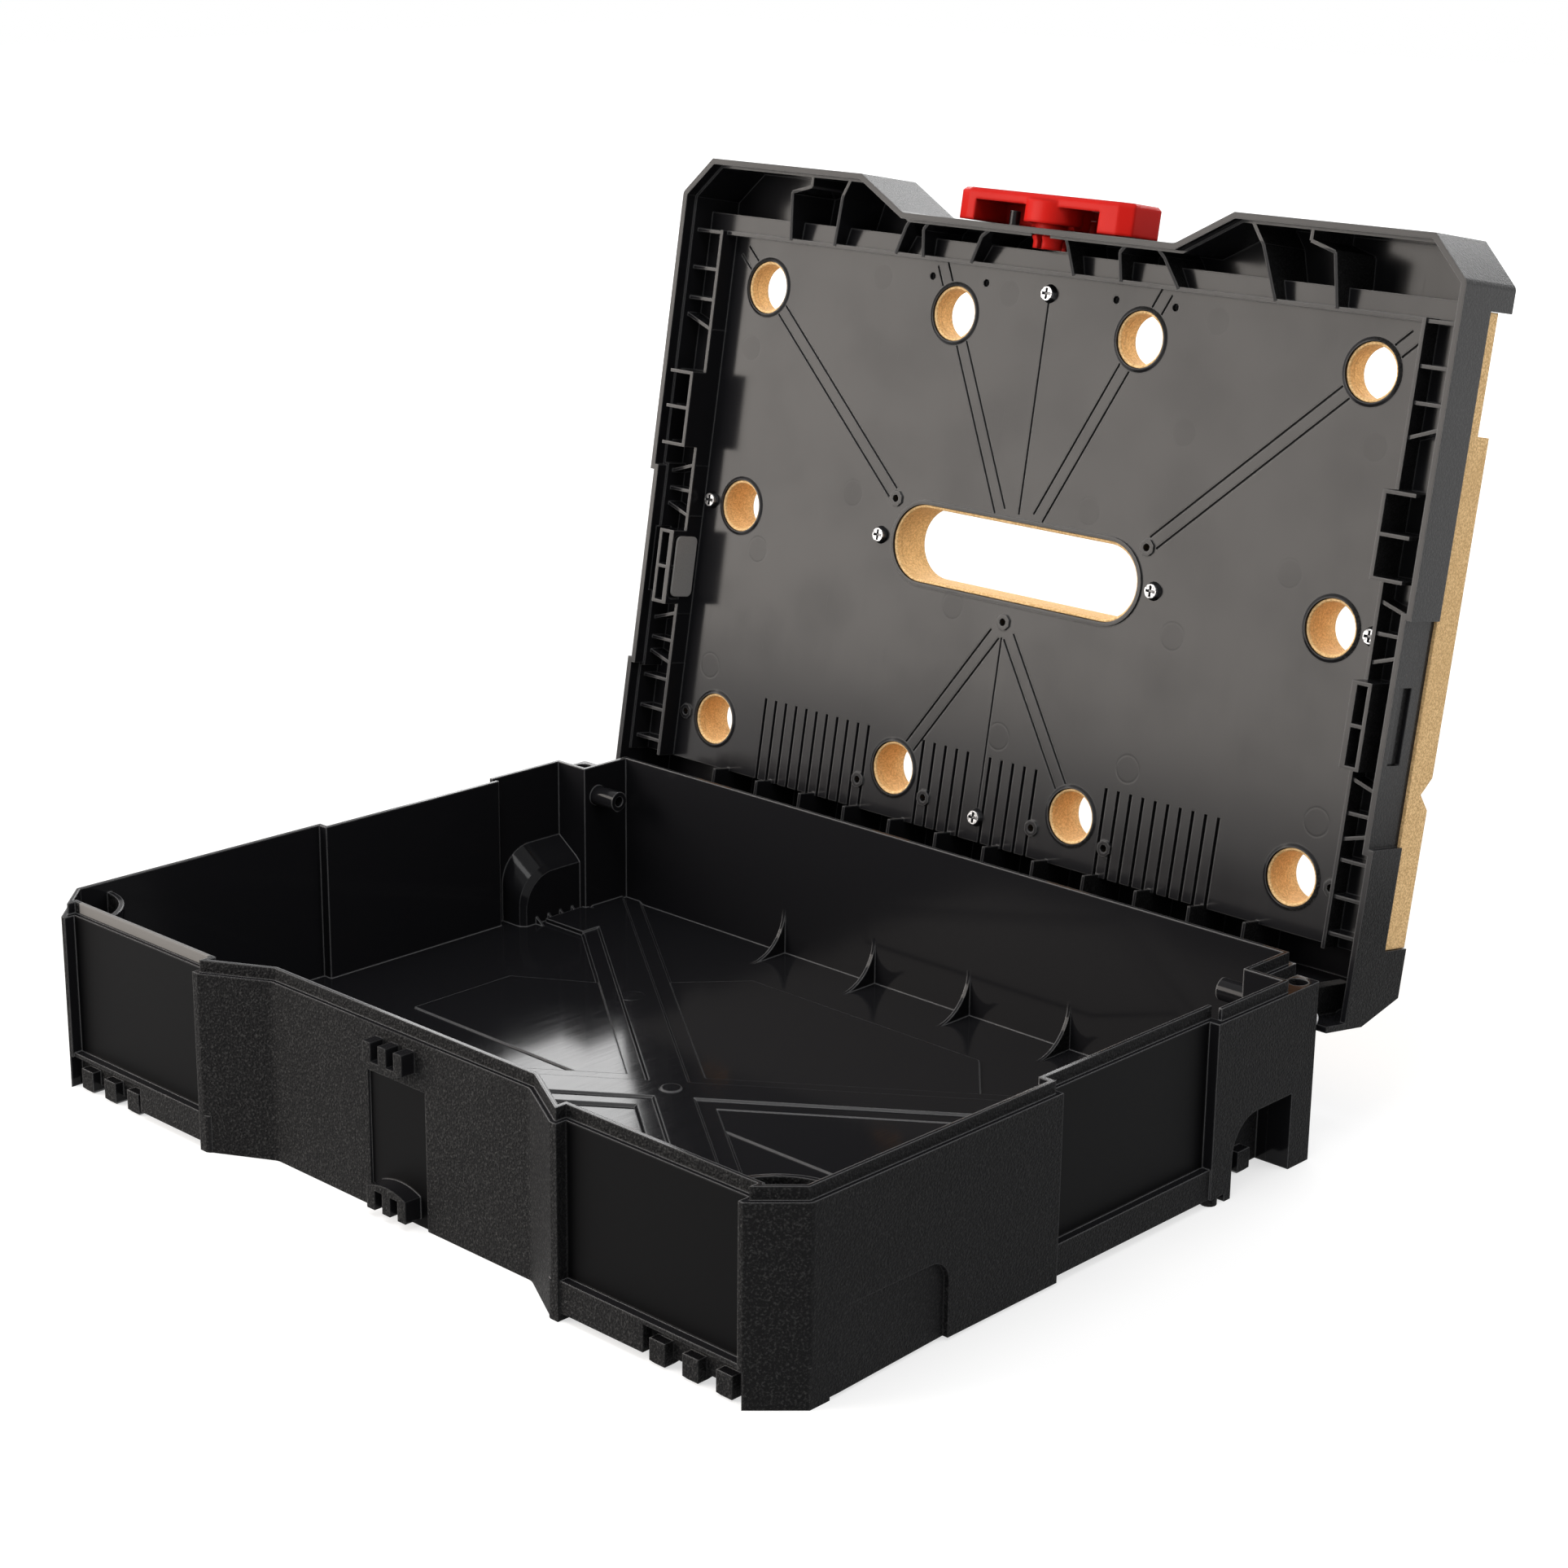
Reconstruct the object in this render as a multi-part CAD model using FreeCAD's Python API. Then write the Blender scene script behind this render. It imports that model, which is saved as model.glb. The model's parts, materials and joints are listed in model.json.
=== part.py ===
import FreeCAD, Part
import math
import os

# Stackable tool case with a bored worktop lid, in millimetres.
# +X to the right along the front, +Y to the back, +Z up.
# The case is drawn about the centre of its footprint, with the lid closed. The lid is then turned back on
# its hinge into the open rest pose, and the origin is set on the floor under the middle of the open case.

Vec = FreeCAD.Vector

# Overall size with the lid closed
CASE_W = 396.0
CASE_D = 296.0
CASE_H = 105.0
LID_H = 34.7
LID_OVERHANG = 1.0
LID_GAP = 0.3

# One overrun serves every cut
OVERRUN = 2.0

# Sides of the small pins and holes that repeat, and of the posts and screw heads
SMALL_SIDES = 8
ROUND_SIDES = 16

# Base shell
BASE_WALL = 3.6
SHOULDER = 2.0
TONGUE_H = 4.5
FLOOR_Z = 8.0
FLOOR_T = 3.0
CORNER_CUT = 15.0
CORNER_ROUND = 3.0
PANEL_SINK = 4.5
LEDGE_Z = 14.5
BAND_SINK = 1.0
BAND_Z = 3.0
WALL_Z = 1.2
POST_W = 3.0
POST_ROUND = 1.0

# Latch recess in the front, shared by base and lid
RECESS_FLOOR_W = 139.0
RECESS_MOUTH_W = 190.0
RECESS_DEPTH = 14.0
RECESS_ROUND = 6.0

# Label panels: inset from the corner of the base, and reach along its side
FRONT_PANEL_INSET = 17.0
SIDE_PANEL_L = 87.0
SIDE_PANEL_TO_REAR = 71.0

# Rear corner notch and hinge
NOTCH_W = 17.0
NOTCH_D = 25.0
HINGE_INSET = 8.4
HINGE_DROP = 16.2
OPEN_DEG = 99.66
PIN_R = 3.0
PIN_FIT = 0.02
ARM_FIT = 0.06
ARM_T = 5.0
ARM_GAP = 1.0
ARM_R = 9.0
BLOCK_ROUND = 1.2
CORNER_POCKET_DEPTH = 22.0
TUBE_R = 4.4
TUBE_BORE_R = 2.2
TUBE_L = 14.0
TUBE_INSET = 4.0
TUBE_DROP = 9.0

# Feet and foot pockets of the base
FOOT_LENGTH = 24.0
POCKET_L = 36.0
POCKET_H = 30.0
POCKET_DEPTH = 17.0
POCKET_ROUND = 14.0
POCKET_LAP = 2.0
FOOT_ROUND = 3.0
SCOOP_INSET = 28.0
SCOOP_L = 52.0
SCOOP_TOP = 30.0
SCOOP_DEPTH = 2.2
SCOOP_ROUND = 9.0
TOE_W = 7.0
TOE_D = 5.0
TOE_H = 9.0
TOE_CUT = 1.2
TOE_PITCH = 15.0
TOE_COUNT = 3
TOE_WINDOW_L = 45.0
TOE_WINDOW_D = 5.5
TOE_WINDOW_TOP = 13.0
REAR_TOE_COUNT = 2
REAR_FOOT_W = 44.0
REAR_FOOT_D = 14.0

# Inside of the foot pocket: a sloping shelf with a bevelled edge and ticks at its foot
BULGE_TOP = 42.0
BULGE_DROP = 9.0
BULGE_BEVEL = 2.2
BULGE_WALL = 3.6
BULGE_ROUND = 16.0
TICK_T = 1.0
TICK_L = 7.0
TICK_H = 4.0
TICK_PITCH = 7.0
TICK_COUNT = 4

# Floor pattern and stiffening inside the base
CROSS_TOP_W = 14.5
CROSS_TOP_H = 2.0
CROSS_STEP_W = 29.0
CROSS_STEP_H = 1.1
CENTRE_DOT_R = 4.0
CENTRE_DOT_H = 0.6
PLATEAU_H = 0.7
PLATEAU_SHARES = ((0.70, -0.08), (0.70, 0.27), (0.51, 0.435), (0.315, 0.735))
STEP_PAD_L = 22.0
GUSSET_T = 1.6
GUSSET_PITCH = 52.0
GUSSET_COUNT = 4
GUSSET_R = 20.0
CORNER_WALL_R = 27.0
CORNER_WALL_T = 2.0

# Latch lugs and the smooth pad between them on the front of the base
LUG_W = 21.0
LUG_OUT = 6.0
LUG_RIB_T = 4.2
LUG_RIBS = 3
LUG_FLANGE = 3.0
UPPER_LUG_DROP = 4.0
LOWER_LUG_Z = 3.0
LOWER_LUG_TOP = 13.5
PAD_W = 31.0
PAD_DROP = 18.0
PAD_SINK = 1.2

# Lid shell
LID_WALL = 2.4
LID_STEP = 1.0
LID_PANEL_SINK = 2.2
PLATE_T = 3.4
CAP_FRONT_D = 25.0
CAP_REAR_D = 28.4
CAP_WALL = 2.4
REAR_WALL_BEHIND = 4.4
REAR_SLOPE_RUN = 9.0
REAR_SLOPE_DROP = 23.0
REAR_EDGE_CLEAR = 3.1
REAR_RIB_PITCH = 26.0
REAR_RIB_COUNT = 12
APRON_DROP = 12.0
LIP_INSET = 5.0
LIP_T = 1.6
LIP_H = 6.2
RIB_T = 1.4
RIB_CLEAR = 1.2
STOP_R = 2.2
STOP_X = -20.0
STOP_L = 6.0

# Ladder along each side of the lid: rail, rungs, a taller stretch and a closed box beside the window
RAIL_INSET = 20.0
RAIL_T = 1.6
RAIL_CLEAR = 3.1
RUNG_T = 1.4
RUNG_SINK = 1.0
RUNG_SHARES = (0.79, 0.68, 0.59, 0.37, 0.265, 0.155, 0.017, -0.44, -0.56, -0.655, -0.75)
DIAGONAL_SHARES = ((0.50, 0.545), (0.10, 0.06), (-0.06, -0.02), (-0.35, -0.39), (-0.51, -0.475))
TALL_SHARES = (0.37, 0.265, 0.155)
TALL_H = 8.0
TALL_CLEAR = 1.4
BOX_W = 7.0
BOX_WALL = 2.4
BOX_REACH = 4.0
BOX_POCKET_D = 1.0
BOX_POCKET_ROUND = 2.5
WINDOW_INSET = 26.0
WINDOW_L = 29.0
WINDOW_RISE = 3.2
WINDOW_H = 8.5

# Ribs across the front channel of the lid, as places along it at the lip, at the kink and at the wall
KINK_SHARE = 0.65
RECESS_RIB_SHARES = ((-0.40, -0.37, -0.35), (-0.323, -0.321, -0.293), (-0.192, -0.162, -0.121),
                     (0.078, 0.063, 0.053), (0.197, 0.194, 0.222), (0.338, 0.303, 0.273))
CORNER_RIB_SHARES = ((-0.576, -0.55, -0.525), (0.566, 0.535, 0.495))
HOOK_RIB_SHARES = (0.705, 0.697, 0.641)

# Fine grooves, comb and screw bosses on the inner face of the lid panel
LINE_W = 0.9
LINE_D = 1.0
LINE_GAP = 5.5
LINE_TAIL = 9.0
FAN_X = 10.0
FAN_CLEAR = 3.0
COMB_W = 1.5
COMB_D = 2.0
COMB_PITCH = 6.1
COMB_L = 15.0
COMB_GROUPS = ((-125.6, 11), (-33.4, 5), (3.0, 5), (63.4, 10))
BOSS_R = 3.2
BOSS_HOLE_R = 1.5
BOSS_H = 0.8
SLOT_BOSS_OUT = 3.0
REAR_BOSS_OUT = 10.0
DOG_BOSS_X = 18.7
DOG_BOSS_Y = 9.0
EDGE_BOSS_X = 18.0
SMALL_HOLE_X = 14.5
SMALL_HOLE_Y = 14.0

# Worktop board
BOARD_T = 15.0
BOARD_SIDE_GAP = 1.0
BOARD_END_GAP = 0.2
STEP_L = 45.2
STEP_H = 8.0
GROOVE_INSET = 59.1
GROOVE_W = 12.5
GROOVE_D = 6.3
DOG_R = 10.0
DOG_PITCH = 96.0
DOG_SIDE_INSET = 43.0
DOG_FRONT_INSET = 27.0
DOG_REAR_INSET = 18.6
COLLAR_GAP = 1.4
COLLAR_W = 1.6
COLLAR_H = 1.4
SLOT_L = 126.0
SLOT_W = 30.0

# Board screws
SCREW_R = 1.8
SCREW_L = 13.0
HEAD_R = 3.8
HEAD_H = 2.4
HEAD_SLOPE = 1.0
CROSS_W = 1.0
CROSS_L = 4.4
CROSS_D = 1.2
SCREW_FIT = 0.02
SCREW_PANEL_GAP = 0.3
SCREW_FRONT_INSET = 14.0
SCREW_REAR_INSET = 7.6
SCREW_SLOT_OUT = 9.0
SCREW_SIDE_INSET = 25.0

# Turn latch
LATCH_RISE = 12.6
LATCH_BAR_L = 88.0
LATCH_BAR_LOW = 9.0
LATCH_BAR_HIGH = 15.0
LATCH_STEM_W = 30.0
LATCH_STEM_END = 34.0
LATCH_FACE_T = 4.6
LATCH_BACK_GAP = 0.6
LATCH_FRONT_GAP = 0.5
LATCH_CUT = 4.0
LATCH_END_CUT = 6.0
LATCH_END_RISE = 3.0
LATCH_BEVEL = 1.4
LATCH_TAPER = 6.5
LATCH_BLOCK_L = 10.0
LATCH_BLOCK_R = 15.0
LATCH_WALL = 3.0
LATCH_WEB_W = 21.6
HOOK_R = 27.2
HOOK_GAP = 0.6
HUB_R = 12.0
HUB_SINK = 1.5
SHAFT_R = 7.0
SHAFT_FIT = 0.08
SNAP_R = 8.0
SNAP_GAP = 0.35
SNAP_L = 2.2
PRONG_L = 5.4
PRONG_BORE_R = 4.4
PRONG_SLOT = 2.4

# Outlines and levels worked out from the sizes above
HALF_W = CASE_W / 2 - LID_OVERHANG
FRONT_Y = -(CASE_D / 2 - LID_OVERHANG)
REAR_Y = CASE_D / 2 - LID_OVERHANG
LID_FRONT_Y = FRONT_Y - LID_OVERHANG
LID_HALF_W = CASE_W / 2
RIM_Z = CASE_H - LID_H
BASE_H = RIM_Z - LID_GAP
TONGUE_Z = BASE_H + TONGUE_H
SEAT_Z = CASE_H - BOARD_T
PLATE_Z = SEAT_Z - PLATE_T
RECESS_Y = LID_FRONT_Y + RECESS_DEPTH
PAD_Y = FRONT_Y + RECESS_DEPTH

# Places on the base
FRONT_PANEL_END = HALF_W - FRONT_PANEL_INSET
SIDE_PANEL_REAR = REAR_Y - SIDE_PANEL_TO_REAR
SIDE_PANEL_FRONT = SIDE_PANEL_REAR - SIDE_PANEL_L
NOTCH_X = HALF_W - NOTCH_W
NOTCH_Y = REAR_Y - NOTCH_D
HINGE_Y = REAR_Y - HINGE_INSET
HINGE_Z = BASE_H - HINGE_DROP
ARM_X = NOTCH_X + ARM_GAP
BLOCK_X = ARM_X + ARM_T + ARM_GAP
BLOCK_REAR_Y = HINGE_Y - LID_OVERHANG
POCKET_REAR = NOTCH_Y + POCKET_LAP
POCKET_FRONT = POCKET_REAR - POCKET_L
SCOOP_FRONT = FRONT_Y + SCOOP_INSET
UPPER_LUG_TOP = BASE_H - UPPER_LUG_DROP
PAD_TOP = BASE_H - PAD_DROP

# Places on the lid and its board
REAR_WALL_Y = HINGE_Y + REAR_WALL_BEHIND
REAR_TOP_Y = REAR_WALL_Y - REAR_SLOPE_RUN
REAR_SLOPE_Z = CASE_H - REAR_SLOPE_DROP
REAR_EDGE_Z = TONGUE_Z + REAR_EDGE_CLEAR
APRON_Z = BASE_H - APRON_DROP
BOARD_FRONT_Y = LID_FRONT_Y + CAP_FRONT_D
BOARD_REAR_Y = REAR_WALL_Y - CAP_REAR_D
PANEL_REAR_Y = BOARD_REAR_Y + BOARD_END_GAP + CAP_WALL
LIP_Y = BOARD_FRONT_Y + LIP_INSET
LIP_Z = PLATE_Z - LIP_H
RIB_Z = TONGUE_Z + RIB_CLEAR
RAIL_X = LID_HALF_W - RAIL_INSET
RAIL_Z = TONGUE_Z + RAIL_CLEAR
RUNG_Z = RAIL_Z + RUNG_SINK
TALL_Z = RAIL_Z - TALL_H
WINDOW_FRONT = SIDE_PANEL_FRONT + WINDOW_INSET
WINDOW_REAR = WINDOW_FRONT + WINDOW_L
WINDOW_Z = RIM_Z + WINDOW_RISE
STEP_Y = BOARD_FRONT_Y + STEP_L
GROOVE_Y = BOARD_REAR_Y - GROOVE_INSET
DOG_FRONT_Y = BOARD_FRONT_Y + DOG_FRONT_INSET
DOG_REAR_Y = BOARD_REAR_Y - DOG_REAR_INSET
DOG_MIDDLE_Y = (DOG_FRONT_Y + DOG_REAR_Y) / 2
DOG_INNER_X = DOG_PITCH / 2
DOG_OUTER_X = LID_HALF_W - DOG_SIDE_INSET
COLLAR_R = DOG_R + COLLAR_GAP + COLLAR_W
SLOT_EDGE_Y = SLOT_W / 2 + COLLAR_GAP

# Places of the turn latch
LATCH_Z = BASE_H + LATCH_RISE
LATCH_FRONT_Y = LID_FRONT_Y + LATCH_FRONT_GAP
LATCH_BACK_Y = RECESS_Y - LATCH_BACK_GAP
HOOK_LUG_R = HOOK_R - HOOK_GAP


def box(x0, x1, y0, y1, z0, z1):
    return Part.makeBox(x1 - x0, y1 - y0, z1 - z0, Vec(x0, y0, z0))


def wire(points, z=0):
    corners = [Vec(x, y, z) for x, y in points]
    return Part.makePolygon(corners + corners[:1])


def prism(outline, z0, z1):
    base = outline.copy()
    base.translate(Vec(0, 0, z0))
    return Part.Face(base).extrude(Vec(0, 0, z1 - z0))


def inset(outline, distance):
    return outline.makeOffset2D(-distance, 2)


def rod_x(x0, x1, y, z, r):
    return Part.makeCylinder(r, x1 - x0, Vec(x0, y, z), Vec(1, 0, 0))


def rod_y(y0, y1, x, z, r):
    return Part.makeCylinder(r, y1 - y0, Vec(x, y0, z), Vec(0, 1, 0))


def rod_z(z0, z1, x, y, r):
    return Part.makeCylinder(r, z1 - z0, Vec(x, y, z0), Vec(0, 0, 1))


def many_sided(x, y, radius, sides, z=0):
    """Even outline with few sides, drawn round a circle of the given radius."""
    reach = radius / math.cos(math.pi / sides)
    angles = [2 * math.pi * (index + 1 / 2) / sides for index in range(sides)]
    return wire([(x + reach * math.cos(a), y + reach * math.sin(a)) for a in angles], z)


def small_round(x, y, radius, z0, z1):
    """Small upright pin or hole."""
    return prism(many_sided(x, y, radius, SMALL_SIDES), z0, z1)


def mirrored(shape):
    return shape.mirror(Vec(0, 0, 0), Vec(1, 0, 0))


def both_sides(shapes):
    return shapes + [mirrored(shape) for shape in shapes]


def side_profile(points, x0, x1):
    """Prism along X from a profile of (y, z) corners."""
    corners = [Vec(x0, y, z) for y, z in points]
    face = Part.Face(Part.makePolygon(corners + corners[:1]))
    return face.extrude(Vec(x1 - x0, 0, 0))


def cross_profile(points, y0, y1):
    """Prism along Y from a profile of (x, z) corners."""
    corners = [Vec(x, y0, z) for x, z in points]
    face = Part.Face(Part.makePolygon(corners + corners[:1]))
    return face.extrude(Vec(0, y1 - y0, 0))


def strip(path, thickness, z0, z1):
    """Thin upright plate that follows a path of (x, y) points."""
    plates = []
    for (xa, ya), (xb, yb) in zip(path, path[1:]):
        scale = thickness / 2 / math.hypot(xb - xa, yb - ya)
        nx = (ya - yb) * scale
        ny = (xb - xa) * scale
        corners = [(xa - nx, ya - ny), (xb - nx, yb - ny), (xb + nx, yb + ny), (xa + nx, ya + ny)]
        plates.append(prism(wire(corners), z0, z1))
    if len(plates) == 1:
        return plates[0]
    return plates[0].multiFuse(plates[1:])


def full_outline(right_half):
    left_half = [(-x, y) for x, y in reversed(right_half)]
    return wire(right_half + left_half)


def rounded(solid):
    """Round the upright corners that base and lid share: the cut corners and the latch recess."""
    corners = [(HALF_W, FRONT_Y + CORNER_CUT, CORNER_ROUND), (RECESS_MOUTH_W / 2, FRONT_Y, POST_ROUND),
               (RECESS_FLOOR_W / 2, PAD_Y, RECESS_ROUND)]
    for x, y, radius in corners:
        edges = []
        for edge in solid.Edges:
            extent = edge.BoundBox
            across = max(extent.XLength, extent.YLength)
            away = math.hypot(abs(extent.Center.x) - x, extent.Center.y - y)
            if across < LID_GAP and away < LID_OVERHANG * 2:
                edges.append(edge)
        solid = solid.makeFillet(radius, edges)
    return solid


def stadium(length, width, z0, z1):
    """Long hole of the hand slot, with round ends."""
    straight = (length - width) / 2
    y = DOG_MIDDLE_Y
    middle = box(-straight, straight, y - width / 2, y + width / 2, z0, z1)
    ends = [rod_z(z0, z1, x, y, width / 2) for x in (-straight, straight)]
    return middle.multiFuse(ends).removeSplitter()


def front_half():
    """Right half of the front outline that base and lid share, from the latch recess to the corner."""
    return [
        (RECESS_FLOOR_W / 2, PAD_Y),
        (RECESS_MOUTH_W / 2, FRONT_Y),
    ]


def corner_half():
    return [
        (HALF_W - CORNER_CUT, FRONT_Y),
        (HALF_W, FRONT_Y + CORNER_CUT),
    ]


def side_panel_half(sink):
    return [
        (HALF_W, SIDE_PANEL_FRONT),
        (HALF_W - sink, SIDE_PANEL_FRONT),
        (HALF_W - sink, SIDE_PANEL_REAR),
        (HALF_W, SIDE_PANEL_REAR),
    ]


def front_panel_half(sink):
    start = RECESS_MOUTH_W / 2 + POST_W
    return [
        (start, FRONT_Y),
        (start, FRONT_Y + sink),
        (FRONT_PANEL_END, FRONT_Y + sink),
        (FRONT_PANEL_END, FRONT_Y),
    ]


def notch_half():
    return [
        (HALF_W, NOTCH_Y),
        (NOTCH_X, NOTCH_Y),
        (NOTCH_X, REAR_Y),
    ]


def base_outline(sink):
    points = front_half() + front_panel_half(sink) + corner_half()
    return full_outline(points + side_panel_half(sink) + notch_half())


def tongue_relief():
    """Gap in the tongue at the rear step of the side panel, where the lid swings past."""
    return box(HALF_W - PANEL_SINK - SHOULDER, HALF_W, SIDE_PANEL_REAR, SIDE_PANEL_REAR + BASE_WALL,
               BASE_H, TONGUE_Z + OVERRUN)


def raised_bottoms():
    """Spaces under the side walls, the label bands and the rear wall, which end above the ground."""
    deep = PANEL_SINK + BASE_WALL + OVERRUN
    start = RECESS_MOUTH_W / 2 + POST_W
    inner = NOTCH_X - REAR_FOOT_W
    foot_y = FRONT_Y + FOOT_LENGTH
    out = HALF_W + OVERRUN
    front = box(start, FRONT_PANEL_END, FRONT_Y - OVERRUN, FRONT_Y + deep, -OVERRUN, BAND_Z)
    wall = box(HALF_W - deep, out, foot_y, SIDE_PANEL_FRONT, -OVERRUN, WALL_Z)
    band = box(HALF_W - deep, out, SIDE_PANEL_FRONT, POCKET_REAR, -OVERRUN, BAND_Z)
    rear = box(-inner, inner, REAR_Y - deep, REAR_Y + OVERRUN, -OVERRUN, BAND_Z)
    return both_sides([front, wall, band]) + [rear]


def base_walls():
    upper = base_outline(PANEL_SINK)
    lower = base_outline(BAND_SINK)
    body = rounded(prism(upper, LEDGE_Z, BASE_H)).fuse(rounded(prism(lower, 0, LEDGE_Z)))
    tongue = prism(inset(upper, SHOULDER), BASE_H - OVERRUN, TONGUE_Z)
    for relief in both_sides([tongue_relief()]):
        tongue = tongue.cut(relief)
    cavity = prism(inset(upper, BASE_WALL), FLOOR_Z, TONGUE_Z + OVERRUN)
    under = prism(inset(upper, BASE_WALL), -OVERRUN, FLOOR_Z - FLOOR_T)
    return body.fuse(tongue).cut([cavity, under] + raised_bottoms())


def rear_corner():
    """Outer rear corner block with the rounded pocket that the hinge arm swings beside."""
    block = box(BLOCK_X, HALF_W, NOTCH_Y, BLOCK_REAR_Y, 0, BASE_H)
    edges = [e for e in block.Edges if abs(e.BoundBox.ZLength - BASE_H) < OVERRUN
             and e.BoundBox.YMin > NOTCH_Y + OVERRUN and e.BoundBox.XMin > BLOCK_X + OVERRUN]
    block = block.makeFillet(BLOCK_ROUND, edges)
    radius = (HALF_W - BLOCK_X) / 2 - CAP_WALL / 2
    middle_x = (HALF_W + BLOCK_X) / 2 - CAP_WALL / 4
    middle_y = BLOCK_REAR_Y - CAP_WALL - radius
    pocket = rod_z(BASE_H - CORNER_POCKET_DEPTH, BASE_H + OVERRUN, middle_x, middle_y, radius)
    web = box(NOTCH_X - OVERRUN, BLOCK_X + OVERRUN, NOTCH_Y, NOTCH_Y + CAP_WALL, 0, HINGE_Z - ARM_R - ARM_GAP)
    return block.cut(pocket).fuse(web)


def wall_tube():
    """Short tube on the inner side of the wall that holds the hinge pin."""
    x0 = NOTCH_X - BASE_WALL - TUBE_L
    y = NOTCH_Y + TUBE_INSET
    z = BASE_H - TUBE_DROP
    tube = rod_x(x0, NOTCH_X - BASE_WALL / 2, y, z, TUBE_R)
    return tube.cut(rod_x(x0 - OVERRUN, NOTCH_X - BASE_WALL, y, z, TUBE_BORE_R))


def pin_length():
    return NOTCH_X - BASE_WALL, HALF_W - CAP_WALL


def corner_wall():
    """Curved wall that closes off the front corner of the cavity as a vertical pocket."""
    x = HALF_W - BASE_WALL
    y = FRONT_Y + BASE_WALL
    ring = rod_z(FLOOR_Z - OVERRUN, BASE_H, x, y, CORNER_WALL_R)
    ring = ring.cut(rod_z(FLOOR_Z - OVERRUN, BASE_H, x, y, CORNER_WALL_R - CORNER_WALL_T))
    keep = prism(inset(base_outline(PANEL_SINK), SHOULDER), FLOOR_Z - OVERRUN, BASE_H)
    return ring.common(keep)


def side_pocket(depth, y0, y1, top, radius):
    """Space let into the side wall from below, rounded at its upper front corner."""
    square = box(HALF_W - depth, HALF_W + OVERRUN, y0, y1, -OVERRUN, top)
    edges = [e for e in square.Edges if e.BoundBox.XLength > depth and e.BoundBox.ZMin > top - OVERRUN
             and e.BoundBox.YMax < y0 + OVERRUN]
    return square.makeFillet(radius, edges)


def side_scoop():
    """Hollow in the side wall that deepens towards its rear end, rounded at its upper rear corner."""
    y0 = SCOOP_FRONT
    y1 = y0 + SCOOP_L
    out = HALF_W + OVERRUN
    corners = [(HALF_W, y0), (out, y0), (out, y1), (HALF_W - SCOOP_DEPTH, y1)]
    wedge = prism(wire(corners), -OVERRUN, SCOOP_TOP)
    edges = [e for e in wedge.Edges if e.BoundBox.XLength > SCOOP_DEPTH and e.BoundBox.YMin > y1 - OVERRUN
             and e.BoundBox.ZMin > SCOOP_TOP - OVERRUN]
    return wedge.makeFillet(SCOOP_ROUND, edges)


def toe_window():
    """Space cut into the label band from below, in which the front toes stand."""
    end = HALF_W - CORNER_CUT
    return box(end - TOE_WINDOW_L, end, FRONT_Y - OVERRUN, FRONT_Y + TOE_WINDOW_D, -OVERRUN, TOE_WINDOW_TOP)


def pocket_casing():
    """Walls round the foot pocket below the floor."""
    casing = box(HALF_W - POCKET_DEPTH, HALF_W, POCKET_FRONT - BULGE_WALL, POCKET_REAR, 0, FLOOR_Z)
    return casing.common(prism(base_outline(BAND_SINK), 0, FLOOR_Z))


def bulge_section(x, top, front):
    """Outline of the pocket's inside across X: upright front, rounded upper corner, flat top."""
    low = FLOOR_Z - OVERRUN
    rear = NOTCH_Y - BASE_WALL / 2
    short = BULGE_ROUND * (1 - math.sqrt(1 / 2))
    corners = [Vec(x, front, low), Vec(x, front, top - BULGE_ROUND), Vec(x, front + BULGE_ROUND, top),
               Vec(x, rear, top), Vec(x, rear, low)]
    arc = Part.Arc(corners[1], Vec(x, front + short, top - short), corners[2]).toShape()
    lines = [Part.makeLine(a, b) for a, b in zip(corners[2:], corners[3:] + corners[:1])]
    return Part.Wire([Part.makeLine(corners[0], corners[1]), arc] + lines)


def pocket_bulge():
    """Inside of the foot pocket: a shelf that slopes down from the side wall to a bevelled edge."""
    front = POCKET_FRONT - BULGE_WALL
    edge_x = HALF_W - POCKET_DEPTH
    edge_top = BULGE_TOP - BULGE_DROP
    sections = [
        bulge_section(HALF_W - BASE_WALL / 2, BULGE_TOP, front),
        bulge_section(edge_x + BULGE_BEVEL, edge_top, front),
        bulge_section(edge_x, edge_top - BULGE_BEVEL, front + BULGE_BEVEL),
    ]
    return Part.makeLoft(sections, True, True)


def bulge_ticks():
    """Small ribs at the foot of the pocket's inside."""
    x = HALF_W - POCKET_DEPTH + TICK_T
    low = FLOOR_Z - TICK_T
    row = []
    for index in range(TICK_COUNT):
        y = POCKET_FRONT + TICK_H + index * TICK_PITCH
        row.append(cross_profile([(x, low), (x, FLOOR_Z + TICK_H), (x - TICK_L, low)], y, y + TICK_T))
    return row


def toes(x, y, count, step_x, step_y):
    """Row of small hooked toes that grip the case below."""
    row = []
    for index in range(count):
        px = x + index * step_x
        py = y + index * step_y
        toe = box(px - TOE_W / 2, px + TOE_W / 2, py - TOE_W / 2, py + TOE_W / 2, 0, TOE_H)
        edges = [e for e in toe.Edges if e.BoundBox.ZLength < OVERRUN and e.BoundBox.ZMax < OVERRUN]
        row.append(toe.makeChamfer(TOE_CUT, edges))
    return row


def corner_foot():
    outline = full_outline(front_half() + corner_half() + notch_half())
    end = FRONT_Y + FOOT_LENGTH
    reach = box(HALF_W - CORNER_CUT, HALF_W, FRONT_Y, end, 0, LEDGE_Z)
    edges = [e for e in reach.Edges if e.BoundBox.ZMax < OVERRUN and e.BoundBox.YMin > end - OVERRUN]
    return prism(outline, 0, LEDGE_Z).common(reach.makeFillet(FOOT_ROUND, edges))


def post_foot(x, y):
    return prism(many_sided(x, y, POST_W, ROUND_SIDES), 0, LEDGE_Z)


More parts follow.
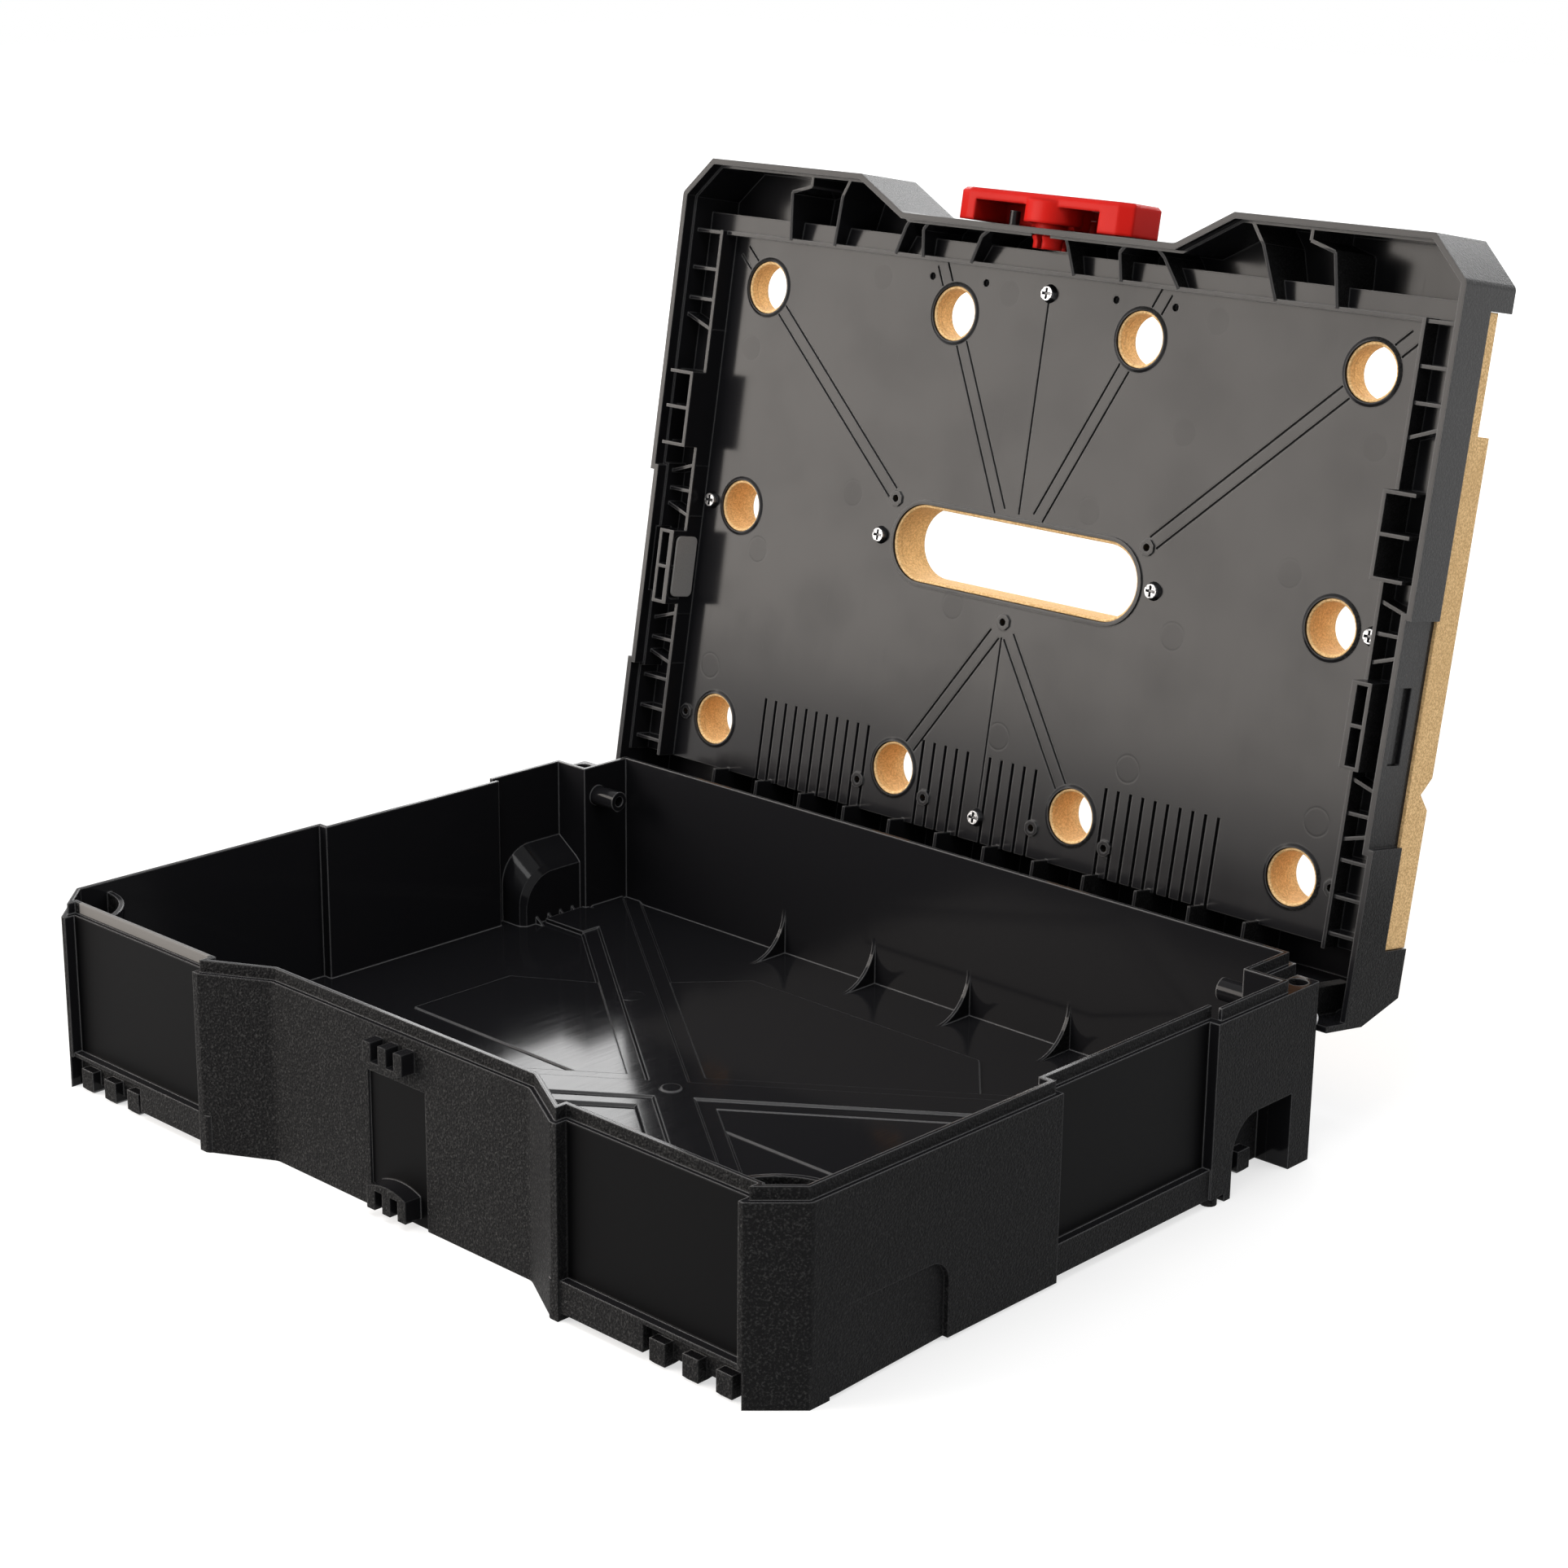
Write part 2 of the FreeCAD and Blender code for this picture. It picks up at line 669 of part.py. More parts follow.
def rear_foot():
    inner = NOTCH_X - REAR_FOOT_W
    return box(inner, NOTCH_X, REAR_Y - REAR_FOOT_D, REAR_Y, 0, FLOOR_Z - FLOOR_T + OVERRUN)


def cross_band(width, height, turn):
    """Raised band with sloping sides, turned about the middle of the floor."""
    length = math.hypot(HALF_W, REAR_Y)
    low = FLOOR_Z - FLOOR_T / 2
    top = FLOOR_Z + height
    half = width / 2
    foot = half + top - low
    band = side_profile([(-foot, low), (foot, low), (half, top), (-half, top)], -length, length)
    band.rotate(Vec(0, 0, 0), Vec(0, 0, 1), turn)
    return band


def floor_pattern():
    """Stepped diagonal cross with a dot in its middle, a low plateau and a step pad in each rear corner."""
    angle = math.degrees(math.atan2(REAR_Y, HALF_W))
    low = FLOOR_Z - FLOOR_T / 2
    plateau = full_outline([(sx * HALF_W, sy * REAR_Y) for sx, sy in PLATEAU_SHARES])
    parts = [prism(plateau, low, FLOOR_Z + PLATEAU_H)]
    for width, height in ((CROSS_STEP_W, CROSS_STEP_H), (CROSS_TOP_W, CROSS_TOP_H)):
        parts += [cross_band(width, height, turn) for turn in (angle, -angle)]
    x = NOTCH_X - BASE_WALL
    y = NOTCH_Y - BASE_WALL
    top = FLOOR_Z + CROSS_TOP_H
    parts += both_sides([box(x - STEP_PAD_L, x + OVERRUN, y - STEP_PAD_L, y + OVERRUN, low, top)])
    parts.append(rod_z(low, top + CENTRE_DOT_H, 0, 0, CENTRE_DOT_R))
    inside = prism(inset(base_outline(PANEL_SINK), BASE_WALL / 2), low, BASE_H)
    return parts[0].multiFuse(parts[1:]).common(inside)


def gussets():
    """Thin curved stiffeners between the floor and the rear wall."""
    y = REAR_Y - BASE_WALL + OVERRUN
    row = []
    for index in range(GUSSET_COUNT):
        x = (index - (GUSSET_COUNT - 1) / 2) * GUSSET_PITCH
        reach = GUSSET_R + OVERRUN
        plate = box(x - GUSSET_T / 2, x + GUSSET_T / 2, y - reach, y, FLOOR_Z - OVERRUN, FLOOR_Z + GUSSET_R)
        hollow = rod_x(x - GUSSET_T, x + GUSSET_T, y - reach, FLOOR_Z + GUSSET_R, GUSSET_R)
        row.append(plate.cut(hollow))
    return row


def lug(z0, z1, arc_below):
    """Latch lug: upright ribs on a flange whose arc runs round the latch axis."""
    y0 = PAD_Y - LUG_OUT
    y1 = PAD_Y + OVERRUN
    step = (LUG_W - LUG_RIB_T) / (LUG_RIBS - 1)
    ribs = []
    for index in range(LUG_RIBS):
        x = -LUG_W / 2 + index * step
        ribs.append(box(x, x + LUG_RIB_T, y0, y1, z0, z1))
    flange_z = z0 if arc_below else z1 - LUG_FLANGE
    ribs.append(box(-LUG_W / 2, LUG_W / 2, y0, y1, flange_z, flange_z + LUG_FLANGE))
    return ribs[0].multiFuse(ribs[1:])


def latch_lugs():
    low = LATCH_Z - HOOK_LUG_R
    upper = lug(low, UPPER_LUG_TOP, True)
    upper = upper.common(rod_y(FRONT_Y, 0, 0, LATCH_Z, HOOK_LUG_R))
    lower = lug(LOWER_LUG_Z, LOWER_LUG_TOP, False)
    below_z = LOWER_LUG_TOP - HOOK_LUG_R
    lower = lower.common(rod_y(FRONT_Y, 0, 0, below_z, HOOK_LUG_R))
    return [upper, lower]


def base_shell():
    shell = base_walls()
    start, end = pin_length()
    toe_x = FRONT_PANEL_END - TOE_W
    rear_toe_x = HALF_W - POCKET_DEPTH + TOE_W / 2
    post_x = RECESS_MOUTH_W / 2
    right = [
        rear_corner(),
        wall_tube(),
        corner_wall(),
        pocket_casing(),
        pocket_bulge(),
        corner_foot(),
        post_foot(post_x, FRONT_Y + POST_W),
        post_foot(HALF_W - POST_W, SIDE_PANEL_REAR + POST_W),
        rear_foot(),
    ]
    right += bulge_ticks()
    shell = shell.multiFuse(both_sides(right) + gussets() + [floor_pattern()])
    pad = box(-PAD_W / 2, PAD_W / 2, PAD_Y - OVERRUN, PAD_Y + PAD_SINK, -OVERRUN, PAD_TOP)
    pocket = side_pocket(POCKET_DEPTH - BULGE_BEVEL, POCKET_FRONT, POCKET_REAR, POCKET_H, POCKET_ROUND)
    bore = rod_x(start - OVERRUN, end, HINGE_Y, HINGE_Z, PIN_R + PIN_FIT)
    shell = shell.cut(both_sides([pocket, side_scoop(), toe_window(), bore]) + [pad])
    right = toes(toe_x, FRONT_Y + TOE_D, TOE_COUNT, -TOE_PITCH, 0)
    right += toes(rear_toe_x, POCKET_FRONT + TOE_W, REAR_TOE_COUNT, 0, TOE_PITCH)
    shell = shell.multiFuse(both_sides(right))
    return shell.multiFuse(latch_lugs()).removeSplitter()


def hinge_pin():
    start, end = pin_length()
    return rod_x(start, end, HINGE_Y, HINGE_Z, PIN_R)


def lid_outline():
    """Outer outline of the lid: the base outline without front panels, grown by the overhang."""
    points = front_half() + corner_half() + side_panel_half(LID_PANEL_SINK)
    rear = REAR_WALL_Y - LID_OVERHANG
    outline = full_outline(points + [(HALF_W, rear)])
    return inset(outline, -LID_OVERHANG)


def rear_slope():
    """Space behind the sloping rear face of the lid."""
    far = CASE_D
    high = CASE_H + OVERRUN
    profile = [(REAR_WALL_Y, REAR_SLOPE_Z), (REAR_TOP_Y, CASE_H), (REAR_TOP_Y, high),
               (far, high), (far, REAR_SLOPE_Z)]
    return side_profile(profile, -CASE_W, CASE_W)


def rear_hollow(x0, x1, grow):
    """Hollow of the rear cap, parallel to its sloping outer face."""
    top = CASE_H - CAP_WALL + grow
    y0 = PANEL_REAR_Y - grow
    y1 = REAR_WALL_Y - CAP_WALL + grow
    low = REAR_EDGE_Z if grow else RIM_Z - OVERRUN
    profile = [(y0, low), (y0, top), (y1 - REAR_SLOPE_RUN, top), (y1, REAR_SLOPE_Z), (y1, low)]
    return side_profile(profile, x0, x1)


def rear_ribs():
    """Thin upright ribs inside the rear cap."""
    row = []
    for index in range(REAR_RIB_COUNT):
        x = (index - (REAR_RIB_COUNT - 1) / 2) * REAR_RIB_PITCH
        row.append(rear_hollow(x - RIB_T / 2, x + RIB_T / 2, CAP_WALL / 2))
    return row


def lid_body():
    """Skirt with its inner step, panel plate and the two hollow end caps."""
    outline = lid_outline()
    wide = prism(inset(outline, LID_WALL), RIM_Z - OVERRUN, RIB_Z)
    narrow = inset(outline, LID_WALL + LID_STEP)
    body = rounded(prism(outline, RIM_Z, CASE_H))
    board_space = box(-CASE_W, CASE_W, BOARD_FRONT_Y, BOARD_REAR_Y + BOARD_END_GAP, SEAT_Z, CASE_H + OVERRUN)
    front = box(-CASE_W, CASE_W, LID_FRONT_Y, BOARD_FRONT_Y - CAP_WALL, RIM_Z, CASE_H - CAP_WALL)
    side = LID_HALF_W - LID_WALL
    gap_x = NOTCH_X + ARM_GAP / 2
    rear_gap = box(-gap_x, gap_x, BOARD_REAR_Y, CASE_D, RIM_Z - OVERRUN, REAR_EDGE_Z)
    return body.cut([board_space, rear_slope(), wide, prism(narrow, RIM_Z, PLATE_Z),
                     front.common(prism(narrow, RIM_Z, CASE_H)), rear_hollow(-side, side, 0), rear_gap])


def hinge_arm():
    """Plate arm from the rear cap of the lid down to the hinge pin."""
    x1 = ARM_X + ARM_T
    eye = rod_x(ARM_X, x1, HINGE_Y, HINGE_Z, ARM_R)
    rear = REAR_WALL_Y - CAP_WALL / 2
    plate = box(ARM_X, x1, HINGE_Y - ARM_R, rear, HINGE_Z, SEAT_Z)
    arm = eye.fuse(plate)
    bore = rod_x(ARM_X - OVERRUN, x1 + OVERRUN, HINGE_Y, HINGE_Z, PIN_R + ARM_FIT)
    return arm.cut(bore)


def rear_apron():
    """Rear wall of the lid, carried down behind the corner block of the base."""
    return box(ARM_X, LID_HALF_W, REAR_WALL_Y - CAP_WALL, REAR_WALL_Y, APRON_Z, REAR_SLOPE_Z)


def side_rungs():
    """Rail of the side ladder with its straight and diagonal rungs."""
    half_d = CASE_D / 2
    outer = LID_HALF_W - LID_WALL / 2
    top = PLATE_Z + OVERRUN / 2
    parts = []
    for share in RUNG_SHARES:
        y = -share * half_d
        parts.append(box(RAIL_X, outer, y - RUNG_T / 2, y + RUNG_T / 2, RUNG_Z, top))
    for inner_share, outer_share in DIAGONAL_SHARES:
        path = [(RAIL_X, -inner_share * half_d), (outer, -outer_share * half_d)]
        parts.append(strip(path, RUNG_T, RUNG_Z, top))
    inside = prism(lid_outline(), RAIL_Z, top)
    rail = box(RAIL_X, RAIL_X + RAIL_T, LIP_Y, PANEL_REAR_Y, RAIL_Z, top)
    return [part.common(inside) for part in parts] + [rail]


def tall_stretch():
    """Taller stretch of the side ladder, clear of the base wall."""
    half_d = CASE_D / 2
    top = PLATE_Z + OVERRUN / 2
    outer = HALF_W - BASE_WALL - TALL_CLEAR
    places = [-share * half_d for share in TALL_SHARES]
    parts = [box(RAIL_X, outer, y - RUNG_T / 2, y + RUNG_T / 2, TALL_Z, top) for y in places]
    parts.append(box(RAIL_X, RAIL_X + RAIL_T, places[0] - RUNG_T / 2, places[-1] + RUNG_T / 2, TALL_Z, top))
    return parts


def window_box():
    """Closed box of the side ladder beside the window, with a shallow pocket in its inner face."""
    top = PLATE_Z + OVERRUN / 2
    y0 = WINDOW_FRONT
    y1 = WINDOW_REAR + BOX_REACH
    outer = RAIL_X + BOX_W
    parts = [box(outer, outer + RAIL_T, y0, y1, TALL_Z, top)]
    for y in (y0, (y0 + y1 - RUNG_T) / 2, y1 - RUNG_T):
        parts.append(box(RAIL_X, outer + RAIL_T, y, y + RUNG_T, TALL_Z, top))
    face = box(RAIL_X, RAIL_X + BOX_WALL, y0, y1, TALL_Z, top)
    pocket = box(RAIL_X - BOX_POCKET_D, RAIL_X + BOX_POCKET_D, y0 + BOX_WALL, y1 - BOX_WALL,
                 TALL_Z + RUNG_SINK, PLATE_Z - RUNG_SINK)
    edges = [e for e in pocket.Edges if e.BoundBox.XLength > BOX_POCKET_D]
    return parts + [face.cut(pocket.makeFillet(BOX_POCKET_ROUND, edges))]


def rib_path(xs, wall_y):
    """Path of a front rib from the lip to the wall, with a kink on its way."""
    kink_y = LIP_Y + (wall_y - LIP_Y) * KINK_SHARE
    return list(zip([share * LID_HALF_W for share in xs], (LIP_Y + LIP_T / 2, kink_y, wall_y)))


def front_ribs():
    """Kinked ribs across the front channel and a hooked one near each corner."""
    top = CASE_H - CAP_WALL / 2
    paths = [rib_path(xs, RECESS_Y) for xs in RECESS_RIB_SHARES]
    paths += [rib_path(xs, LID_FRONT_Y) for xs in CORNER_RIB_SHARES]
    start, bend, end = [share * LID_HALF_W for share in HOOK_RIB_SHARES]
    bend_y = LIP_Y + (LID_FRONT_Y - LIP_Y) * KINK_SHARE
    hook_y = bend_y - LIP_T * 2
    for side in (-1, 1):
        paths.append([(side * start, LIP_Y + LIP_T / 2), (side * bend, bend_y), (side * end, hook_y),
                      (side * end, LID_FRONT_Y)])
    low = RIB_Z - OVERRUN
    slope = side_profile([(LID_FRONT_Y, low), (LIP_Y + LIP_T, low), (LIP_Y + LIP_T, LIP_Z)], -CASE_W, CASE_W)
    board_y = BOARD_FRONT_Y - CAP_WALL / 2
    board = box(-CASE_W, CASE_W, board_y, LIP_Y + OVERRUN, PLATE_Z + OVERRUN / 2, top + OVERRUN)
    hollow = prism(inset(lid_outline(), LID_WALL / 2), RIB_Z, top)
    return [strip(path, RIB_T, RIB_Z, top).cut([slope, board]).common(hollow) for path in paths]


def dog_places():
    inner = [(sx * DOG_INNER_X, y) for sx in (-1, 1) for y in (DOG_FRONT_Y, DOG_REAR_Y)]
    outer = [(sx * DOG_OUTER_X, y) for sx in (-1, 1) for y in (DOG_FRONT_Y, DOG_MIDDLE_Y, DOG_REAR_Y)]
    return inner + outer


def screw_places():
    ends = [(0, BOARD_FRONT_Y + SCREW_FRONT_INSET), (0, BOARD_REAR_Y - SCREW_REAR_INSET)]
    columns = (SLOT_L / 2 + SCREW_SLOT_OUT, LID_HALF_W - SCREW_SIDE_INSET)
    return ends + [(sx * x, DOG_MIDDLE_Y) for sx in (-1, 1) for x in columns]


def slot_boss(side):
    return side * (SLOT_L / 2 + SLOT_BOSS_OUT), DOG_MIDDLE_Y - SLOT_EDGE_Y


def rear_boss():
    return 0, DOG_MIDDLE_Y + SLOT_W / 2 + REAR_BOSS_OUT


def boss_places():
    """Screw bosses on the panel that carry no screw."""
    places = [rear_boss()]
    for side in (-1, 1):
        places.append(slot_boss(side))
        places.append((side * (DOG_OUTER_X + EDGE_BOSS_X), DOG_REAR_Y))
        places += [(side * DOG_INNER_X + step, DOG_REAR_Y + DOG_BOSS_Y) for step in (-DOG_BOSS_X, DOG_BOSS_X)]
    return places


def small_holes():
    return [(side * DOG_INNER_X + step, DOG_FRONT_Y - SMALL_HOLE_Y)
            for side in (-1, 1) for step in (-SMALL_HOLE_X, SMALL_HOLE_X)]


def fine_line(path):
    return strip(path, LINE_W, PLATE_Z - OVERRUN, PLATE_Z + LINE_D)


def line_pair(start, end, from_start, from_end):
    """Two fine grooves side by side on a line, starting and ending at set distances from its end points."""
    (xa, ya), (xb, yb) = start, end
    length = math.hypot(xb - xa, yb - ya)
    dx = (xb - xa) / length
    dy = (yb - ya) / length
    pair = []
    for shift in (-LINE_GAP / 2, LINE_GAP / 2):
        path = [(xa + dx * along - dy * shift, ya + dy * along + dx * shift)
                for along in (from_start, length - from_end)]
        pair.append(fine_line(path))
    return pair


def panel_lines():
    """Fan of fine grooves from the holes to the hand slot, with short tails towards the lip."""
    lines = []
    for side in (-1, 1):
        inner = (side * DOG_INNER_X, DOG_FRONT_Y)
        fan = (side * FAN_X, DOG_MIDDLE_Y - SLOT_EDGE_Y - FAN_CLEAR)
        outer = (side * DOG_OUTER_X, DOG_FRONT_Y)
        for hole, target, clear in ((inner, fan, 0), (outer, slot_boss(side), BOSS_R)):
            length = math.dist(hole, target)
            lines += line_pair(hole, target, COLLAR_R, clear)
            lines += line_pair(hole, target, -COLLAR_R - LINE_TAIL, length + COLLAR_R)
        lines += line_pair(rear_boss(), (side * DOG_INNER_X, DOG_REAR_Y), BOSS_R * 2, COLLAR_R)
    front, rear = screw_places()[:2]
    boss_y = rear_boss()[1]
    lines.append(fine_line([(0, front[1] + HEAD_R), (0, DOG_MIDDLE_Y - SLOT_EDGE_Y - FAN_CLEAR)]))
    lines.append(fine_line([(0, boss_y + BOSS_R * 2), (0, rear[1] - HEAD_R)]))
    return lines


def comb_grooves():
    """Rows of short deep grooves that run out over the rear edge of the panel."""
    y0 = DOG_REAR_Y - COMB_L
    grooves = []
    for start, count in COMB_GROUPS:
        for index in range(count):
            x = start + index * COMB_PITCH
            grooves.append(box(x - COMB_W / 2, x + COMB_W / 2, y0, PANEL_REAR_Y + OVERRUN,
                               PLATE_Z - OVERRUN, PLATE_Z + COMB_D))
    return grooves


def latch_hole():
    """Hole for the latch shaft, with a wider clearing behind the wall for its snap prongs."""
    wall_y = RECESS_Y + LID_WALL
    hole = rod_y(RECESS_Y - OVERRUN, wall_y + OVERRUN, 0, LATCH_Z, SHAFT_R + SHAFT_FIT)
    return hole.fuse(rod_y(wall_y, wall_y + PRONG_L, 0, LATCH_Z, SNAP_R + SNAP_GAP))


def collar(x, y):
    """Raised ring round a hole, sloping down to the panel."""
    return Part.makeCone(DOG_R, COLLAR_R, COLLAR_H, Vec(x, y, PLATE_Z - COLLAR_H))


def panel_boss(x, y):
    return small_round(x, y, BOSS_R, PLATE_Z - BOSS_H, PLATE_Z + COMB_D)


def lid_shell():
    body = lid_body().cut(panel_lines() + comb_grooves())
    lip = box(-RAIL_X - RAIL_T, RAIL_X + RAIL_T, LIP_Y, LIP_Y + LIP_T, LIP_Z, PLATE_Z + OVERRUN / 2)
    stop = rod_y(RECESS_Y - STOP_L, RECESS_Y + LID_WALL / 2, STOP_X, LATCH_Z, STOP_R)
    slot_rim = 2 * (COLLAR_GAP + COLLAR_W)
    slot_collar = stadium(SLOT_L + slot_rim, SLOT_W + slot_rim, PLATE_Z - BOSS_H, PLATE_Z + BOSS_H)
    added = both_sides([hinge_arm(), rear_apron()] + side_rungs() + tall_stretch() + window_box())
    added += front_ribs() + rear_ribs() + [lip, stop, slot_collar]
    added += [collar(x, y) for x, y in dog_places()] + [panel_boss(x, y) for x, y in boss_places()]
    body = body.multiFuse(added)
    window = box(HALF_W - PANEL_SINK - LID_WALL * 2, LID_HALF_W + OVERRUN, WINDOW_FRONT, WINDOW_REAR,
                 WINDOW_Z, WINDOW_Z + WINDOW_H)
    low = PLATE_Z - COLLAR_H - OVERRUN
    high = SEAT_Z + OVERRUN
    cutters = both_sides([window]) + [latch_hole()]
    cutters.append(stadium(SLOT_L + 2 * COLLAR_GAP, SLOT_W + 2 * COLLAR_GAP, low, high))
    cutters += [rod_z(low, high, x, y, DOG_R + COLLAR_GAP) for x, y in dog_places()]
    cutters += [small_round(x, y, SCREW_R + SCREW_PANEL_GAP, low, high) for x, y in screw_places()]
    cutters += [small_round(x, y, BOSS_HOLE_R, low, high) for x, y in boss_places()]
    cutters += [small_round(x, y, BOSS_HOLE_R, low, PLATE_Z + COMB_D) for x, y in small_holes()]
    return body.cut(cutters).removeSplitter()


def worktop_board():
    half = LID_HALF_W - BOARD_SIDE_GAP
    y0 = BOARD_FRONT_Y + BOARD_END_GAP
    low = CASE_H - STEP_H
    floor_y = GROOVE_W / 2
    profile = [(y0, SEAT_Z), (y0, low), (STEP_Y, low), (STEP_Y, CASE_H),
               (GROOVE_Y - floor_y, CASE_H), (GROOVE_Y, CASE_H - GROOVE_D), (GROOVE_Y + floor_y, CASE_H),
               (BOARD_REAR_Y, CASE_H), (BOARD_REAR_Y, SEAT_Z)]
    board = side_profile(profile, -half, half)
    low = SEAT_Z - OVERRUN
    high = CASE_H + OVERRUN
    cutters = [rod_z(low, high, x, y, DOG_R) for x, y in dog_places()]
    cutters.append(stadium(SLOT_L, SLOT_W, low, high))
    depth = PLATE_Z + SCREW_L + OVERRUN / 2
    cutters += [small_round(x, y, SCREW_R + SCREW_FIT, low, depth) for x, y in screw_places()]
    return board.cut(cutters)


def board_screw(x, y):
    """Pan-head screw driven up through the panel, head on its inner face."""
    shank = small_round(x, y, SCREW_R, PLATE_Z - HEAD_H / 2, PLATE_Z + SCREW_L)
    low = PLATE_Z - HEAD_H
    rims = [many_sided(x, y, HEAD_R - HEAD_SLOPE, ROUND_SIDES, low),
            many_sided(x, y, HEAD_R, ROUND_SIDES, PLATE_Z)]
    screw = shank.fuse(Part.makeLoft(rims, True, True))
    for wide, tall in ((CROSS_L / 2, CROSS_W / 2), (CROSS_W / 2, CROSS_L / 2)):
        screw = screw.cut(box(x - wide, x + wide, y - tall, y + tall, low - OVERRUN, low + CROSS_D))
    return screw.removeSplitter()


def board_screws():
    return Part.makeCompound([board_screw(x, y) for x, y in screw_places()])


def latch_face():
    """Front outline of the latch: a bar with cut corners and a stem, standing stem up."""
    half = LATCH_BAR_L / 2
    low = LATCH_Z - LATCH_BAR_LOW
    high = LATCH_Z + LATCH_BAR_HIGH
    stem = LATCH_STEM_W / 2
    end = LATCH_Z + LATCH_STEM_END
    right = [(half - LATCH_END_CUT, low), (half, low + LATCH_END_RISE), (half, high - LATCH_CUT),
             (half - LATCH_CUT, high), (stem + LATCH_CUT, high), (stem, high + LATCH_CUT),
             (stem, end - LATCH_CUT), (stem - LATCH_CUT, end)]
    points = right + [(-x, z) for x, z in reversed(right)]
    corners = [Vec(x, LATCH_FRONT_Y, z) for x, z in points]
    return Part.Face(Part.makePolygon(corners + corners[:1]))


def latch_block():
    depth = LATCH_BACK_Y - LATCH_FRONT_Y
    block = latch_face().extrude(Vec(0, depth, 0))
    end = LATCH_Z + LATCH_STEM_END
    high = LATCH_Z + LATCH_BAR_HIGH
    face = [e for e in block.Edges if e.BoundBox.YMax < LATCH_FRONT_Y + LATCH_FRONT_GAP]
    block = block.makeChamfer(LATCH_BEVEL, face)
    taper = side_profile([(LATCH_FRONT_Y - OVERRUN, high), (LATCH_FRONT_Y, high),
                          (LATCH_FRONT_Y + LATCH_TAPER, end), (LATCH_FRONT_Y + LATCH_TAPER, end + OVERRUN),
                          (LATCH_FRONT_Y - OVERRUN, end + OVERRUN)], -LATCH_STEM_W, LATCH_STEM_W)
    return block.cut(taper)


def latch_pockets():
    """Hollow back of the latch with a web at its hub, open along the long edge for the stop post."""
    y0 = LATCH_FRONT_Y + LATCH_FACE_T
    y1 = LATCH_BACK_Y + OVERRUN
    half = LATCH_BAR_L / 2
    low = LATCH_Z - LATCH_BAR_LOW - OVERRUN
    high = LATCH_Z + LATCH_BAR_HIGH - LATCH_WALL
    bar = box(-half + LATCH_BLOCK_L, half - LATCH_BLOCK_R, y0, y1, low, high)
    bar = bar.cut(box(-LATCH_WEB_W / 2, LATCH_WEB_W / 2, y0, y1, LATCH_Z, high))
    stem = LATCH_STEM_W / 2 - LATCH_WALL
    well = box(-stem, stem, y0 + LATCH_TAPER / 2, y1, high - OVERRUN, LATCH_Z + LATCH_STEM_END)
    well = well.common(rod_y(y0, y1, 0, LATCH_Z, HOOK_R))
    return bar.fuse(well)


def latch_shaft():
    """Hub, shaft and split snap prongs behind the latch."""
    wall_y = RECESS_Y + LID_WALL
    snap_y = wall_y + SNAP_GAP
    end_y = wall_y + PRONG_L
    hub = rod_y(LATCH_FRONT_Y + LATCH_FACE_T / 2, LATCH_BACK_Y - HUB_SINK, 0, LATCH_Z, HUB_R)
    shaft = rod_y(LATCH_FRONT_Y + LATCH_FACE_T / 2, end_y, 0, LATCH_Z, SHAFT_R)
    snap = Part.makeCone(SNAP_R, SHAFT_R, SNAP_L, Vec(0, snap_y, LATCH_Z), Vec(0, 1, 0))
    stack = hub.fuse(shaft).fuse(snap)
    bore = rod_y(RECESS_Y, end_y + OVERRUN, 0, LATCH_Z, PRONG_BORE_R)
    stack = stack.cut(bore)
    half = PRONG_SLOT / 2
    for wide, tall in ((SNAP_R + OVERRUN, half), (half, SNAP_R + OVERRUN)):
        slot = box(-wide, wide, RECESS_Y + LID_WALL / 2, end_y + OVERRUN, LATCH_Z - tall, LATCH_Z + tall)
        stack = stack.cut(slot)
    return stack


def turn_latch():
    return latch_block().cut(latch_pockets()).fuse(latch_shaft()).removeSplitter()


def opened(shape):
    """Turn a piece of the lid back from closed to its open stop."""
    turned = shape.copy()
    turned.rotate(Vec(0, HINGE_Y, HINGE_Z), Vec(1, 0, 0), -OPEN_DEG)
    return turned


def floor_centred(nodes):
    """Set the origin on the floor under the middle of the open case."""
    extent = Part.makeCompound(list(nodes.values())).BoundBox
    for shape in nodes.values():
        shape.translate(Vec(-extent.Center.x, -extent.Center.y, -extent.ZMin))
    return nodes


def main():
    pin = hinge_pin()
    nodes = {
        "base_shell": base_shell(),
        "hinge_pin_left": mirrored(pin),
        "hinge_pin_right": pin,
        "lid_shell": opened(lid_shell()),
        "worktop_board": opened(worktop_board()),
        "board_screws": opened(board_screws()),
        "turn_latch": opened(turn_latch()),
    }
    os.makedirs("parts", exist_ok=True)
    for name, shape in floor_centred(nodes).items():
        shape.exportStep("parts/%s.step" % name)
        print(name, len(shape.Solids), round(shape.Volume), shape.isValid())


main()
